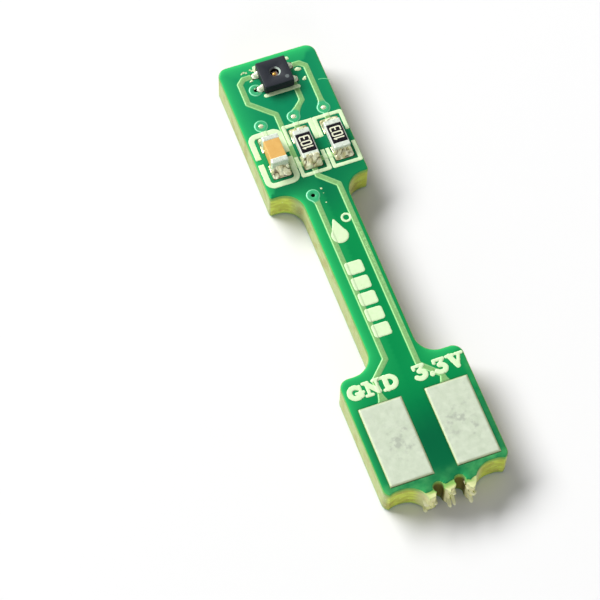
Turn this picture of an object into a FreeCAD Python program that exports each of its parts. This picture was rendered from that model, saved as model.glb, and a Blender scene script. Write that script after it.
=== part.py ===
import FreeCAD, Part
import math
import os

from FreeCAD import Vector

# A small dog-bone circuit board with a temperature and humidity sensor at its head.
# Sizes are in millimetres. While the pieces are drawn, x runs across the board from the
# tail's centre line, y runs up from the tail's end, and z is the height above the bare
# laminate of the face that the piece sits on. Each piece is moved to the board's own
# frame when it is saved: the origin is under the middle of the board, on the surface it
# lies on, +Y points at the sensor and +Z is the component side.

# Board outline
core_thickness = 1.56
tail_width = 6.02
tail_length = 6.14
neck_width = 2.32
neck_length = 10.11
neck_offset = -0.025
head_width = 5.02
head_length = 7.75
head_offset = -0.075
head_corner_radius = 0.50
head_foot_radius = 0.12
tail_shoulder_radius = 0.50
tail_end_radius = 0.40
router_radius = 1.00

# Break-off tab at the tail's end
tab_width = 2.25
tab_offset = -0.04
slot_drop = 0.86
slot_reach = 0.20
bite_diameter = 0.50
bite_pitch = 1.03
bite_drop = 0.27
bite_offset = -0.08
stub_reach = 1.00
fibre_width = 0.11
fibre_tip_width = 0.055

# Layers on each face
copper_thickness = 0.035
mask_thickness = 0.025
mask_over_copper = 0.020
mask_pullback = 0.03
mask_flank = 0.07
mask_reach = 0.04
legend_thickness = 0.02
tin_thickness = 0.045
tin_bevel = 0.12
tin_edge_share = 0.25
solder_film = 0.03
fillet_middle = 0.34

# Tracks and vias
track_width = 0.22
via_ring = 0.60
via_drill = 0.30
via_plating = 0.025
via_mask_hole = 0.20
via_taper_width = 0.48
bead_depth = 0.30
bead_crown_width = 0.10

# Solder pads on the tail
pad_length = 4.08
pad_gap = 1.135
pad_from_end = 0.40
pad_from_left = 0.3775
pad_from_right = 0.3075
pad_opening = 0.04
pad_taper_width = 0.46
pad_taper_length = 0.30

# Sensor
sensor_size = 1.50
sensor_height = 0.50
sensor_from_top = 1.32
sensor_edge_radius = 0.03
sensor_port_top = 0.59
sensor_port_bore = 0.42
sensor_port_lip = 0.075
sensor_port_depth = 0.235
sensor_element_size = 0.28
sensor_element_height = 0.03
sensor_pitch = 0.80
sensor_lead_length = 0.30
sensor_lead_width = 0.28
sensor_lead_height = 0.15
sensor_land_length = 0.60
sensor_land_width = 0.34
sensor_joint_height = 0.24
sensor_die_pad_length = 0.90
sensor_die_pad_width = 0.45
sensor_die_pad_height = 0.12
sensor_bar_length = 1.88
sensor_bar_width = 0.20
sensor_bar_radius = 0.09
sensor_bar_gap = 0.01
sensor_bar_offset = 0.085

# Row of chip parts below the sensor
row_from_foot = 2.15
row_pitch = 1.585
row_offset = 0.025
chip_length = 1.60
chip_land_width = 0.95
chip_land_length = 0.80
chip_land_span = 2.40
land_opening = 0.05

capacitor_width = 0.84
capacitor_height = 0.80
capacitor_cap_length = 0.30
capacitor_edge_radius = 0.06
capacitor_joint_height = 0.46

resistor_width = 0.82
resistor_height = 0.45
resistor_cap_length = 0.27
resistor_edge_radius = 0.03
resistor_joint_height = 0.30
overcoat_thickness = 0.03
overcoat_margin = 0.04
cap_plating = 0.02

# Legend
capacitor_frame_width = 1.73
capacitor_frame_length = 3.17
capacitor_frame_line = 0.28
capacitor_frame_radius = 0.45
capacitor_frame_gap = 0.27
capacitor_frame_shift = -0.06
capacitor_frame_drop = 0.065
resistor_frame_width = 1.53
resistor_frame_length = 3.05
resistor_frame_line = 0.19
resistor_frame_radius = 0.10
resistor_frame_gap = 0.68
resistor_frame_shift = 0.03
resistor_frame_drop = 0.025
frame_inner_radius = 0.04
neck_block_width = 0.86
neck_block_length = 0.70
neck_block_pitch = 0.87
neck_block_count = 5
neck_block_radius = 0.14
neck_blocks_x = -0.10
neck_blocks_from_tail = 1.83
back_panel_width = 3.70
back_panel_length = 1.00
back_panel_radius = 0.15
back_panel_lift = 3.20
back_strip_length = 0.82
back_strip_lift = 0.85

# Routes of the tracks
data_track_x = 0.795
clock_track_x = 1.665
supply_loop_x = -1.745
supply_drop_x = -0.665
neck_supply_x = 0.815
neck_ground_x = -0.525
back_ground_x = -1.615
back_data_x = -0.025
back_clock_x = 0.395
neck_via_x = -0.58
neck_via_drop = 0.47
row_via_lift = 1.85
capacitor_via_shift = -0.03
data_via_shift = 0.06
clock_via_shift = 0.02
sensor_via_gap = 0.38
track_in_pad = 0.20
taper_in_pad = 0.02
taper_lap = 0.05
corner_cut = 0.26
corner_drop = 0.24
ground_entry_shift = 0.19
ground_bend_rise = 0.34
ground_via_tail = 0.55
supply_loop_drop = 1.02
supply_loop_slope = 0.94
supply_foot_rise = 0.50
supply_bend_drop = 0.28
supply_pad_drop = 0.40
data_bend_rise = 0.78
data_taper_back = 0.25
clock_bend_rise = 0.50
clock_taper_rise = 0.62
back_ground_rise = 0.60
back_data_rise = 0.41
back_data_drop = 0.30
back_clock_straight = 1.05
back_clock_drop = 0.04

# Heights and places worked out from the sizes above
board_length = tail_length + neck_length + head_length
head_foot = tail_length + neck_length
middle_y = (board_length - stub_reach) / 2.0
back_laminate_z = copper_thickness + tin_thickness
front_laminate_z = back_laminate_z + core_thickness
ridge_height = copper_thickness + mask_over_copper
cutter_height = 4.0 * ridge_height
part_seat = copper_thickness + solder_film
pad_centre_y = pad_from_end + pad_length / 2.0
pad_top_y = pad_from_end + pad_length
pad_width = (tail_width - pad_from_left - pad_from_right - pad_gap) / 2.0
left_pad_x = pad_from_left + (pad_width - tail_width) / 2.0
right_pad_x = (tail_width - pad_width) / 2.0 - pad_from_right
sensor_x = 0.0
sensor_y = board_length - sensor_from_top
row_y = head_foot + row_from_foot
capacitor_x = row_offset - row_pitch
data_resistor_x = row_offset
clock_resistor_x = row_offset + row_pitch
land_y = (chip_land_span - chip_land_length) / 2.0
sensor_land_x = sensor_size / 2.0

VIAS = {
    "sensor_ground": (sensor_x - sensor_size / 2.0 - sensor_via_gap, sensor_y - sensor_pitch / 2.0),
    "capacitor_ground": (capacitor_x + capacitor_via_shift, row_y + row_via_lift),
    "data": (data_resistor_x + data_via_shift, row_y + row_via_lift),
    "clock": (clock_resistor_x + clock_via_shift, row_y + row_via_lift),
    "neck_ground": (neck_via_x, head_foot - neck_via_drop),
}
BEADED_VIAS = ("capacitor_ground", "data", "clock")


# Basic solids

def slab(x, y, size_x, size_y, z, height):
    """Block centred on x, y that starts at z."""
    return Part.makeBox(size_x, size_y, height, Vector(x - size_x / 2.0, y - size_y / 2.0, z))


def disc(x, y, diameter, z, height):
    """Upright cylinder centred on x, y that starts at z."""
    return Part.makeCylinder(diameter / 2.0, height, Vector(x, y, z))


def joined(solids):
    """All the solids as one, without the seams between them."""
    if len(solids) == 1:
        return solids[0]
    return solids[0].fuse(solids[1:]).removeSplitter()


def round_uprights(solid, corners):
    """Fillet the upright edges that stand at the given corners, each with its own radius."""
    for (x, y), radius in corners:
        edges = [
            edge
            for edge in solid.Edges
            if all(math.hypot(v.X - x, v.Y - y) < 1e-4 for v in edge.Vertexes)
        ]
        solid = solid.makeFillet(radius, edges)
    return solid


def rounded_slab(x, y, size_x, size_y, radius, z, height):
    """Block with its four upright edges rounded."""
    block = slab(x, y, size_x, size_y, z, height)
    corners = [
        ((x + i * size_x / 2.0, y + j * size_y / 2.0), radius) for i in (-1, 1) for j in (-1, 1)
    ]
    return round_uprights(block, corners)


def polygon_wire(points, z):
    """Closed flat wire through x, y points at height z."""
    vectors = [Vector(x, y, z) for x, y in points]
    return Part.makePolygon(vectors + vectors[:1])


# Board outline

def board_blank(z, height, inset):
    """Routed outline with its tab, drawn in by the inset on every side."""
    tail_x = tail_width / 2.0 - inset
    neck_x = neck_width / 2.0 - inset
    head_x = head_width / 2.0 - inset
    tail_top = tail_length - inset
    foot = head_foot + inset
    top = board_length - inset
    tail = slab(0.0, (inset + tail_top) / 2.0, 2.0 * tail_x, tail_top - inset, z, height)
    neck = slab(neck_offset, (tail_top + foot) / 2.0, 2.0 * neck_x, foot - tail_top, z, height)
    head = slab(head_offset, (foot + top) / 2.0, 2.0 * head_x, top - foot, z, height)
    blank = joined([tail, neck, head])
    corners = []
    for side in (-1, 1):
        corners.append(((head_offset + side * head_x, top), head_corner_radius - inset))
        corners.append(((head_offset + side * head_x, foot), head_foot_radius - inset))
        corners.append(((side * tail_x, tail_top), tail_shoulder_radius - inset))
        corners.append(((side * tail_x, inset), tail_end_radius - inset))
        corners.append(((neck_offset + side * neck_x, foot), router_radius + inset))
        corners.append(((neck_offset + side * neck_x, tail_top), router_radius + inset))
    blank = round_uprights(blank, corners)
    tab_foot = -1.5 * stub_reach
    tab_height = tail_end_radius - tab_foot
    tab = slab(tab_offset, tab_foot + tab_height / 2.0, tab_width + 2.0 * router_radius,
               tab_height, z, height)
    return joined([blank, tab]).cut(tab_cutters(z, height, inset))


def tab_cutters(z, height, inset):
    """Ends of the two router slots and the two drilled bites beside the tab."""
    radius = router_radius + inset
    cutters = []
    for side in (-1, 1):
        near = tab_offset + side * (tab_width / 2.0 + router_radius)
        far = near + side * slot_reach
        cutters.append(disc(near, -slot_drop, 2.0 * radius, z, height))
        cutters.append(disc(far, -slot_drop, 2.0 * radius, z, height))
        cutters.append(slab((near + far) / 2.0, -slot_drop, slot_reach, 2.0 * radius, z, height))
        bite_x = bite_offset + side * bite_pitch / 2.0
        cutters.append(disc(bite_x, -bite_drop, bite_diameter + 2.0 * inset, z, height))
    return cutters


def break_cutter(front_depths, back_depths, z, height):
    """Solid below the torn end of the tab.

    Each entry is an x and a depth below the tail's end as a share of the stubs' reach.
    The tear runs straight through the board from the front line to the back line.
    """
    low = -2.0 * stub_reach
    wires = []
    for depths, level in ((back_depths, z), (front_depths, z + height)):
        line = [(x, -share * stub_reach) for x, share in depths]
        wires.append(polygon_wire(line + [(line[-1][0], low), (line[0][0], low)], level))
    return Part.makeLoft(wires, True, True)


# Torn end of the board, from left to right: three stubs and the bites between them
TEAR_X = (-2.30, -1.34, -1.20, -0.90, -0.76, -0.36, -0.28, -0.18, -0.08, 0.12,
          0.24, 0.66, 0.75, 0.87, 1.00, 1.10, 2.20)
TEAR_FRONT = (0.56, 0.61, 0.70, 0.67, 0.47, 0.43, 0.54, 0.71, 0.56, 0.49,
              0.39, 0.46, 0.73, 0.85, 0.77, 0.58, 0.53)
TEAR_BACK = (0.37, 0.46, 0.54, 0.56, 0.52, 0.27, 0.43, 0.53, 0.49, 0.34,
             0.26, 0.31, 0.62, 0.76, 0.64, 0.48, 0.41)
MASK_TEAR = (0.31, 0.34, 0.37, 0.34, 0.24, 0.14, 0.20, 0.24, 0.20, 0.15,
             0.12, 0.20, 0.36, 0.42, 0.39, 0.32, 0.31)

# Each fibre: its x, the shares of the stubs' reach where it starts and ends, and its level
FIBRES = ((-0.15, 0.30, 0.88, 0.16), (0.03, 0.25, 0.78, 0.20), (0.89, 0.45, 1.00, 0.14))


def fibre(x, start, tip, level):
    """Splinter of glass fibre that sticks out of the torn end, thinner at its tip.

    The start and tip are shares of the stubs' reach, the level a share of the thickness.
    """
    height = core_thickness * level
    length = (tip - start) * stub_reach
    return Part.makeCone(fibre_width / 2.0, fibre_tip_width / 2.0, length,
                         Vector(x, -start * stub_reach, height), Vector(0.0, -1.0, 0.0))


def board_core():
    """Laminate: outline, tab, torn stubs, and the drilled via holes."""
    core = board_blank(0.0, core_thickness, 0.0)
    core = core.cut(break_cutter(list(zip(TEAR_X, TEAR_FRONT)), list(zip(TEAR_X, TEAR_BACK)),
                                 0.0, core_thickness))
    core = core.fuse([fibre(*row) for row in FIBRES])
    drills = [disc(x, y, via_drill, 0.0, core_thickness) for x, y in VIAS.values()]
    return core.cut(drills)


# Copper foil and the mask over it

def bar(start, end, start_width, end_width, flank, z, height):
    """Straight run between two points whose sides lean in by the flank."""
    along = Vector(end[0] - start[0], end[1] - start[1], 0.0).normalize()
    across = Vector(-along.y, along.x, 0.0)
    wires = []
    for level, lean in ((z, 0.0), (z + height, flank)):
        corners = []
        for point, width, side in ((start, start_width, -1), (end, end_width, -1),
                                   (end, end_width, 1), (start, start_width, 1)):
            reach = side * (width / 2.0 - lean)
            corners.append((point[0] + across.x * reach, point[1] + across.y * reach))
        wires.append(polygon_wire(corners, level))
    return Part.makeLoft(wires, True, True)


def boss(point, width, flank, z, height):
    """Round end or bend of a track, or the ring of a via."""
    x, y = point
    if flank == 0.0:
        return disc(x, y, width, z, height)
    return Part.makeCone(width / 2.0, width / 2.0 - flank, height, Vector(x, y, z))


class Foil:
    """Copper of one net on one face: lands, tracks, via rings and tapers."""

    def __init__(self):
        self.lands = []
        self.runs = []
        self.bosses = []
        self.drills = []

    def land(self, x, y, size_x, size_y):
        """Add a rectangular land."""
        self.lands.append((x, y, size_x, size_y))

    def track(self, *points):
        """Add a track of even width through the points, with round bends."""
        for start, end in zip(points, points[1:]):
            self.runs.append((start, end, track_width, track_width))
        for point in points:
            self.bosses.append((point, track_width))

    def taper(self, start, end, start_width):
        """Add a run that narrows from its start to the width of a track."""
        self.runs.append((start, end, start_width, track_width))

    def pad_entry(self, x):
        """Add the short taper where a track leaves the top of a solder pad."""
        self.taper((x, pad_top_y - taper_in_pad), (x, pad_top_y + pad_taper_length),
                   pad_taper_width)

    def via(self, name):
        """Add the ring of a via."""
        self.bosses.append((VIAS[name], via_ring))
        self.drills.append(VIAS[name])

    def raised(self, grow, flank, z, height):
        """Tracks, tapers and rings as solids, wider than the copper by the growth."""
        solids = [bar(a, b, wa + 2.0 * grow, wb + 2.0 * grow, flank, z, height)
                  for a, b, wa, wb in self.runs]
        solids += [boss(p, w + 2.0 * grow, flank, z, height) for p, w in self.bosses]
        return solids

    def copper(self):
        """The foil itself, drilled at its vias."""
        solids = self.raised(0.0, 0.0, 0.0, copper_thickness)
        solids += [slab(x, y, sx, sy, 0.0, copper_thickness) for x, y, sx, sy in self.lands]
        foil = joined(solids)
        if self.drills:
            foil = foil.cut([disc(x, y, via_drill, 0.0, copper_thickness) for x, y in self.drills])
        return foil


def ground_front():
    """Ground on the component side: neck track, left pad, and the sensor and capacitor ends."""
    foil = Foil()
    entry_x = left_pad_x + ground_entry_shift
    bend_y = tail_length + ground_bend_rise
    via_x, via_y = VIAS["neck_ground"]
    tail_y = via_y - ground_via_tail
    foil.via("neck_ground")
    foil.taper((via_x, via_y), (neck_ground_x, tail_y), via_taper_width)
    foil.track((neck_ground_x, tail_y + taper_lap), (neck_ground_x, bend_y),
               (entry_x, bend_y - abs(entry_x - neck_ground_x)),
               (entry_x, pad_top_y - track_in_pad))
    foil.pad_entry(entry_x)
    foil.land(left_pad_x, pad_centre_y, pad_width, pad_length)
    foil.via("capacitor_ground")
    foil.track(VIAS["capacitor_ground"], (capacitor_x, row_y + land_y))
    foil.land(capacitor_x, row_y + land_y, chip_land_width, chip_land_length)
    foil.via("sensor_ground")
    foil.track(VIAS["sensor_ground"], (sensor_x - sensor_land_x, sensor_y - sensor_pitch / 2.0))
    sensor_land(foil, -1, -1)
    return foil


def supply_front():
    """Supply on the component side: right pad, neck, the row's lower ends, and the sensor."""
    foil = Foil()
    feed_y = row_y - land_y
    loop_y = sensor_y + sensor_pitch / 2.0
    loop_low = sensor_y - supply_loop_drop
    slant = supply_loop_slope * abs(supply_loop_x - supply_drop_x)
    bend_y = head_foot - supply_bend_drop
    pad_bend = tail_length - supply_pad_drop
    foil.track((sensor_x - sensor_land_x, loop_y), (supply_loop_x + corner_cut, loop_y),
               (supply_loop_x, loop_y - corner_drop), (supply_loop_x, loop_low),
               (supply_drop_x, loop_low - slant), (supply_drop_x, feed_y))
    foil.track((capacitor_x, feed_y), (data_resistor_x, feed_y), (clock_resistor_x, feed_y))
    foil.track((data_resistor_x, feed_y), (data_resistor_x, head_foot + supply_foot_rise),
               (neck_supply_x, bend_y), (neck_supply_x, pad_bend),
               (right_pad_x, pad_bend - abs(right_pad_x - neck_supply_x)),
               (right_pad_x, pad_top_y - track_in_pad))
    foil.pad_entry(right_pad_x)
    foil.land(right_pad_x, pad_centre_y, pad_width, pad_length)
    for x in (capacitor_x, data_resistor_x, clock_resistor_x):
        foil.land(x, feed_y, chip_land_width, chip_land_length)
    sensor_land(foil, -1, 1)
    return foil


def data_front():
    """Data on the component side: sensor, via, and the upper end of its resistor."""
    foil = Foil()
    via_x, via_y = VIAS["data"]
    lead_y = sensor_y - sensor_pitch / 2.0
    bend_y = via_y + data_bend_rise
    foil.via("data")
    foil.track((sensor_x + sensor_land_x, lead_y), (data_track_x, lead_y), (data_track_x, bend_y),
               (via_x, bend_y - abs(data_track_x - via_x)), (data_resistor_x, row_y + land_y))
    foil.taper((via_x, via_y), (data_track_x - data_taper_back, bend_y - data_taper_back),
               via_taper_width)
    foil.land(data_resistor_x, row_y + land_y, chip_land_width, chip_land_length)
    sensor_land(foil, 1, -1)
    return foil


def clock_front():
    """Clock on the component side: sensor, via, and the upper end of its resistor."""
    foil = Foil()
    via_x, via_y = VIAS["clock"]
    lead_y = sensor_y + sensor_pitch / 2.0
    foil.via("clock")
    foil.track((sensor_x + sensor_land_x, lead_y), (clock_track_x - corner_cut, lead_y),
               (clock_track_x, lead_y - corner_drop), (clock_track_x, via_y + clock_bend_rise),
               (via_x, via_y), (clock_resistor_x, row_y + land_y))
    foil.taper((via_x, via_y), (clock_track_x, via_y + clock_taper_rise), via_taper_width)
    foil.land(clock_resistor_x, row_y + land_y, chip_land_width, chip_land_length)
    sensor_land(foil, 1, 1)
    return foil


def sensor_land(foil, side, level):
    """Add one of the sensor's four lands: side is left or right, level is lower or upper."""
    foil.land(sensor_x + side * sensor_land_x, sensor_y + level * sensor_pitch / 2.0,
              sensor_land_length, sensor_land_width)


def ground_back():
    """Ground on the back: one track that ties the three ground vias together."""
    foil = Foil()
    for name in ("sensor_ground", "capacitor_ground", "neck_ground"):
        foil.via(name)
    top_x, top_y = VIAS["sensor_ground"]
    low_x, low_y = VIAS["neck_ground"]
    reach = abs(top_x - back_ground_x)
    turn_y = low_y + back_ground_rise
    foil.track((top_x, top_y), (back_ground_x, top_y - reach),
               (back_ground_x, turn_y + abs(low_x - back_ground_x)),
               (low_x, turn_y), (low_x, low_y))
    return foil


def data_back():
    """Data on the back: from its via down the neck to the pad behind the left one."""
    foil = Foil()
    via_x, via_y = VIAS["data"]
    bend_y = tail_length + back_data_rise
    foil.via("data")
    foil.track((via_x, via_y), (back_data_x, via_y - back_data_drop), (back_data_x, bend_y),
               (left_pad_x, bend_y - abs(left_pad_x - back_data_x)),
               (left_pad_x, pad_top_y - track_in_pad))
    foil.pad_entry(left_pad_x)
    foil.land(left_pad_x, pad_centre_y, pad_width, pad_length)
    return foil


def clock_back():
    """Clock on the back: from its via down the neck to the pad behind the right one."""
    foil = Foil()
    via_x, via_y = VIAS["clock"]
    turn_y = via_y - back_clock_straight
    bend_y = tail_length - back_clock_drop
    foil.via("clock")
    foil.track((via_x, via_y), (via_x, turn_y),
               (back_clock_x, turn_y - abs(via_x - back_clock_x)), (back_clock_x, bend_y),
               (right_pad_x, bend_y - abs(right_pad_x - back_clock_x)),
               (right_pad_x, pad_top_y - track_in_pad))
    foil.pad_entry(right_pad_x)
    foil.land(right_pad_x, pad_centre_y, pad_width, pad_length)
    return foil


def mask_openings(foils):
    """Prisms through the mask where lands stay bare and where vias are open."""
    cutters = []
    for foil in foils:
        for x, y, size_x, size_y in foil.lands:
            gap = pad_opening if size_y == pad_length else land_opening
            cutters.append(slab(x, y, size_x + 2.0 * gap, size_y + 2.0 * gap, -ridge_height,
                                cutter_height))
    for x, y in VIAS.values():
        cutters.append(disc(x, y, via_mask_hole, -ridge_height, cutter_height))
        cutters.append(disc(x, y, via_drill, 0.0, copper_thickness))
    return cutters


def mask_body(foils):
    """Mask without its openings: an even sheet with a sloped ridge over each track."""
    sheet = board_blank(0.0, mask_thickness, mask_pullback)
    tear = list(zip(TEAR_X, MASK_TEAR))
    sheet = sheet.cut(break_cutter(tear, tear, -mask_thickness, 3.0 * mask_thickness))
    ridges = []
    for foil in foils:
        ridges += foil.raised(mask_reach, mask_flank, mask_thickness,
                              ridge_height - mask_thickness)
    return sheet.fuse(joined(ridges))


def legend_print(mask, openings, footprints):
    """Ink that lies on the mask and follows its ridges, inside the given footprints."""
    lifted = mask.copy()
    lifted.translate(Vector(0.0, 0.0, legend_thickness))
    return lifted.common(Part.makeCompound(footprints)).cut([mask] + openings)


# Legend footprints

def open_frame(x, y, size_x, size_y, line, radius, gap):
    """Rounded frame round a chip part, open at the middle of both sides."""
    outer = rounded_slab(x, y, size_x, size_y, radius, 0.0, cutter_height)
    inner = rounded_slab(x, y, size_x - 2.0 * line, size_y - 2.0 * line,
                         max(radius - line, frame_inner_radius), 0.0, cutter_height)
    return outer.cut([inner, slab(x, y, 2.0 * size_x, gap, 0.0, cutter_height)])


def front_footprints():
    """Frames of the chip parts, bars at the sensor, and the plain blocks on the neck."""
    prints = [
        open_frame(capacitor_x + capacitor_frame_shift, row_y - capacitor_frame_drop,
                   capacitor_frame_width, capacitor_frame_length, capacitor_frame_line,
                   capacitor_frame_radius, capacitor_frame_gap),
    ]
    for x in (data_resistor_x, clock_resistor_x):
        prints.append(open_frame(x + resistor_frame_shift, row_y - resistor_frame_drop,
                                 resistor_frame_width, resistor_frame_length,
                                 resistor_frame_line, resistor_frame_radius,
                                 resistor_frame_gap))
    bar_y = sensor_size / 2.0 + sensor_bar_gap + sensor_bar_width / 2.0
    for side in (-1, 1):
        prints.append(rounded_slab(sensor_x + sensor_bar_offset, sensor_y + side * bar_y,
                                   sensor_bar_length, sensor_bar_width, sensor_bar_radius,
                                   0.0, cutter_height))
    for index in range(neck_block_count):
        y = tail_length + neck_blocks_from_tail + index * neck_block_pitch
        prints.append(rounded_slab(neck_offset + neck_blocks_x, y, neck_block_width,
                                   neck_block_length, neck_block_radius, 0.0,
                                   cutter_height))
    return prints


def back_footprints():
    """Two plain marking fields on the back of the head."""
    return [
        rounded_slab(head_offset, row_y + back_panel_lift, back_panel_width, back_panel_length,
                     back_panel_radius, 0.0, cutter_height),
        rounded_slab(head_offset, row_y + back_strip_lift, back_panel_width, back_strip_length,
                     back_panel_radius, 0.0, cutter_height),
    ]


# Vias and pad coats

def via_barrel(name):
    """Plated tube through the laminate, flush with the foil on both faces."""
    x, y = VIAS[name]
    length = core_thickness + 2.0 * copper_thickness
    outer = disc(x, y, via_drill, -copper_thickness, length)
    return outer.cut(disc(x, y, via_drill - 2.0 * via_plating, -copper_thickness, length))


def via_bead(name):
    """Solder that filled the top of a via and stands up through the hole in the mask."""
    x, y = VIAS[name]
    bore = via_drill - 2.0 * via_plating
    plug_top = core_thickness + copper_thickness
    plug = disc(x, y, bore, core_thickness - bead_depth, bead_depth + copper_thickness)
    crown_height = mask_over_copper + legend_thickness
    crown = Part.makeCone(via_mask_hole / 2.0, bead_crown_width / 2.0, crown_height,
                          Vector(x, y, plug_top))
    return plug.fuse(crown).removeSplitter()


def pad_coat(x):
    """Tin on a solder pad: flat on top and sloped down at its edges."""
    z = copper_thickness
    wires = []
    for inset, level in ((0.0, z), (0.0, z + tin_edge_share * tin_thickness),
                         (tin_bevel, z + tin_thickness)):
        half_x = pad_width / 2.0 - inset
        half_y = pad_length / 2.0 - inset
        corners = [(x - half_x, pad_centre_y - half_y), (x + half_x, pad_centre_y - half_y),
                   (x + half_x, pad_centre_y + half_y), (x - half_x, pad_centre_y + half_y)]
        wires.append(polygon_wire(corners, level))
    return Part.makeLoft(wires, True, True)


# Sensor

def sensor_body():
    """Moulded body with its chamfered port, hollowed where the metal sits in it."""
    body = slab(sensor_x, sensor_y, sensor_size, sensor_size, part_seat, sensor_height)
    top = part_seat + sensor_height
    rims = [edge for edge in body.Edges if edge.BoundBox.ZMax > top - 1e-6]
    body = body.makeFillet(sensor_edge_radius, rims)
    bore = disc(sensor_x, sensor_y, sensor_port_bore, top - sensor_port_depth, sensor_port_depth)
    lip = Part.makeCone(sensor_port_bore / 2.0, sensor_port_top / 2.0, sensor_port_lip,
                        Vector(sensor_x, sensor_y, top - sensor_port_lip))
    leads = [sensor_lead(side, level) for side in (-1, 1) for level in (-1, 1)]
    return body.cut([bore, lip, sensor_die_pad()] + leads)


def sensor_lead(side, level):
    """Terminal in a lower corner of the body, flush with its side and underside."""
    x = sensor_x + side * (sensor_size - sensor_lead_length) / 2.0
    y = sensor_y + level * sensor_pitch / 2.0
    return slab(x, y, sensor_lead_length, sensor_lead_width, part_seat, sensor_lead_height)


def sensor_die_pad():
    """Bare metal field in the middle of the underside."""
    return slab(sensor_x, sensor_y, sensor_die_pad_width, sensor_die_pad_length, part_seat,
                sensor_die_pad_height)


def sensor_element():
    """Sensing element on the floor of the port."""
    floor = part_seat + sensor_height - sensor_port_depth
    return slab(sensor_x, sensor_y, sensor_element_size, sensor_element_size, floor,
                sensor_element_height)


def solder_joint(inner, outer, height, width):
    """Solder on one land: a film under the metal and a hollow fillet up its end wall.

    The wall stands at zero, the film reaches inwards and the fillet outwards along x.
    """
    low = copper_thickness
    seat = low + solder_film
    top = Vector(0.0, 0.0, seat + height)
    foot = Vector(outer, 0.0, seat)
    middle = Vector(outer * fillet_middle, 0.0, seat + height * fillet_middle)
    corners = [foot, Vector(outer, 0.0, low), Vector(-inner, 0.0, low),
               Vector(-inner, 0.0, seat), Vector(0.0, 0.0, seat), top]
    outline = Part.makePolygon(corners)
    curve = Part.Arc(top, middle, foot).toShape()
    joint = Part.Face(Part.Wire(outline.Edges + [curve])).extrude(Vector(0.0, width, 0.0))
    joint.translate(Vector(0.0, -width / 2.0, 0.0))
    return joint


def sensor_joint(side, level):
    """Solder between one terminal and its land, with a fillet up the body's side."""
    reach = sensor_land_length / 2.0
    joint = solder_joint(reach, reach, sensor_joint_height, sensor_land_width)
    joint.rotate(Vector(0.0, 0.0, 0.0), Vector(0.0, 0.0, 1.0), 90.0 * (1 - side))
    joint.translate(Vector(sensor_x + side * sensor_land_x,
                           sensor_y + level * sensor_pitch / 2.0, 0.0))
    return joint


# Chip parts

def chip_joint(x, level, height):
    """Solder between one end of a chip part and its land, with a fillet up its end."""
    outer = (chip_land_span - chip_length) / 2.0
    joint = solder_joint(chip_land_length - outer, outer, height, chip_land_width)
    joint.rotate(Vector(0.0, 0.0, 0.0), Vector(0.0, 0.0, 1.0), 90.0 * level)
    joint.translate(Vector(x, row_y + level * chip_length / 2.0, 0.0))
    return joint


def capacitor_ceramic():
    """Ceramic block of the capacitor, thinner than its ends by their plating."""
    return slab(capacitor_x, row_y, capacitor_width - 2.0 * cap_plating,
                chip_length - 2.0 * cap_plating, part_seat + cap_plating,
                capacitor_height - 2.0 * cap_plating)


def capacitor_cap(level):
    """Metal end of the capacitor, wrapped over five faces of the ceramic."""
    y = row_y + level * (chip_length - capacitor_cap_length) / 2.0
    cap = slab(capacitor_x, y, capacitor_width, capacitor_cap_length, part_seat, capacitor_height)
    end_y = row_y + level * chip_length / 2.0
    rims = [edge for edge in cap.Edges
            if abs(edge.BoundBox.YMin - end_y) < 1e-6 and abs(edge.BoundBox.YMax - end_y) < 1e-6]
    return cap.makeFillet(capacitor_edge_radius, rims).cut(capacitor_ceramic())


def resistor_ceramic(x):
    """Ceramic plate of a resistor."""
    return slab(x, row_y, resistor_width, chip_length - 2.0 * cap_plating,
                part_seat + cap_plating, resistor_height - 2.0 * cap_plating)


def resistor_cap(x, level):
    """Metal end of a resistor, wrapped over its top, end and underside."""
    y = row_y + level * (chip_length - resistor_cap_length) / 2.0
    cap = slab(x, y, resistor_width, resistor_cap_length, part_seat, resistor_height)
    end_y = row_y + level * chip_length / 2.0
    rims = [edge for edge in cap.Edges
            if abs(edge.BoundBox.YMin - end_y) < 1e-6 and abs(edge.BoundBox.YMax - end_y) < 1e-6
            and edge.BoundBox.XLength > edge.BoundBox.ZLength]
    return cap.makeFillet(resistor_edge_radius, rims).cut(resistor_ceramic(x))


def resistor_overcoat(x):
    """Dark coat over the resistive film, between the two ends."""
    length = chip_length - 2.0 * resistor_cap_length
    top = part_seat + resistor_height - cap_plating
    return rounded_slab(x, row_y, resistor_width - 2.0 * overcoat_margin, length,
                        overcoat_margin, top, overcoat_thickness)


# Saving

def save(name, shape, base, flipped=False):
    """Move a piece from the drawing's frame to the board's own and write it."""
    placed = shape.copy()
    if flipped:
        placed = placed.mirror(Vector(0.0, 0.0, 0.0), Vector(0.0, 0.0, 1.0))
    placed.translate(Vector(0.0, -middle_y, base))
    placed.exportStep(os.path.join("parts", name + ".step"))


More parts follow.
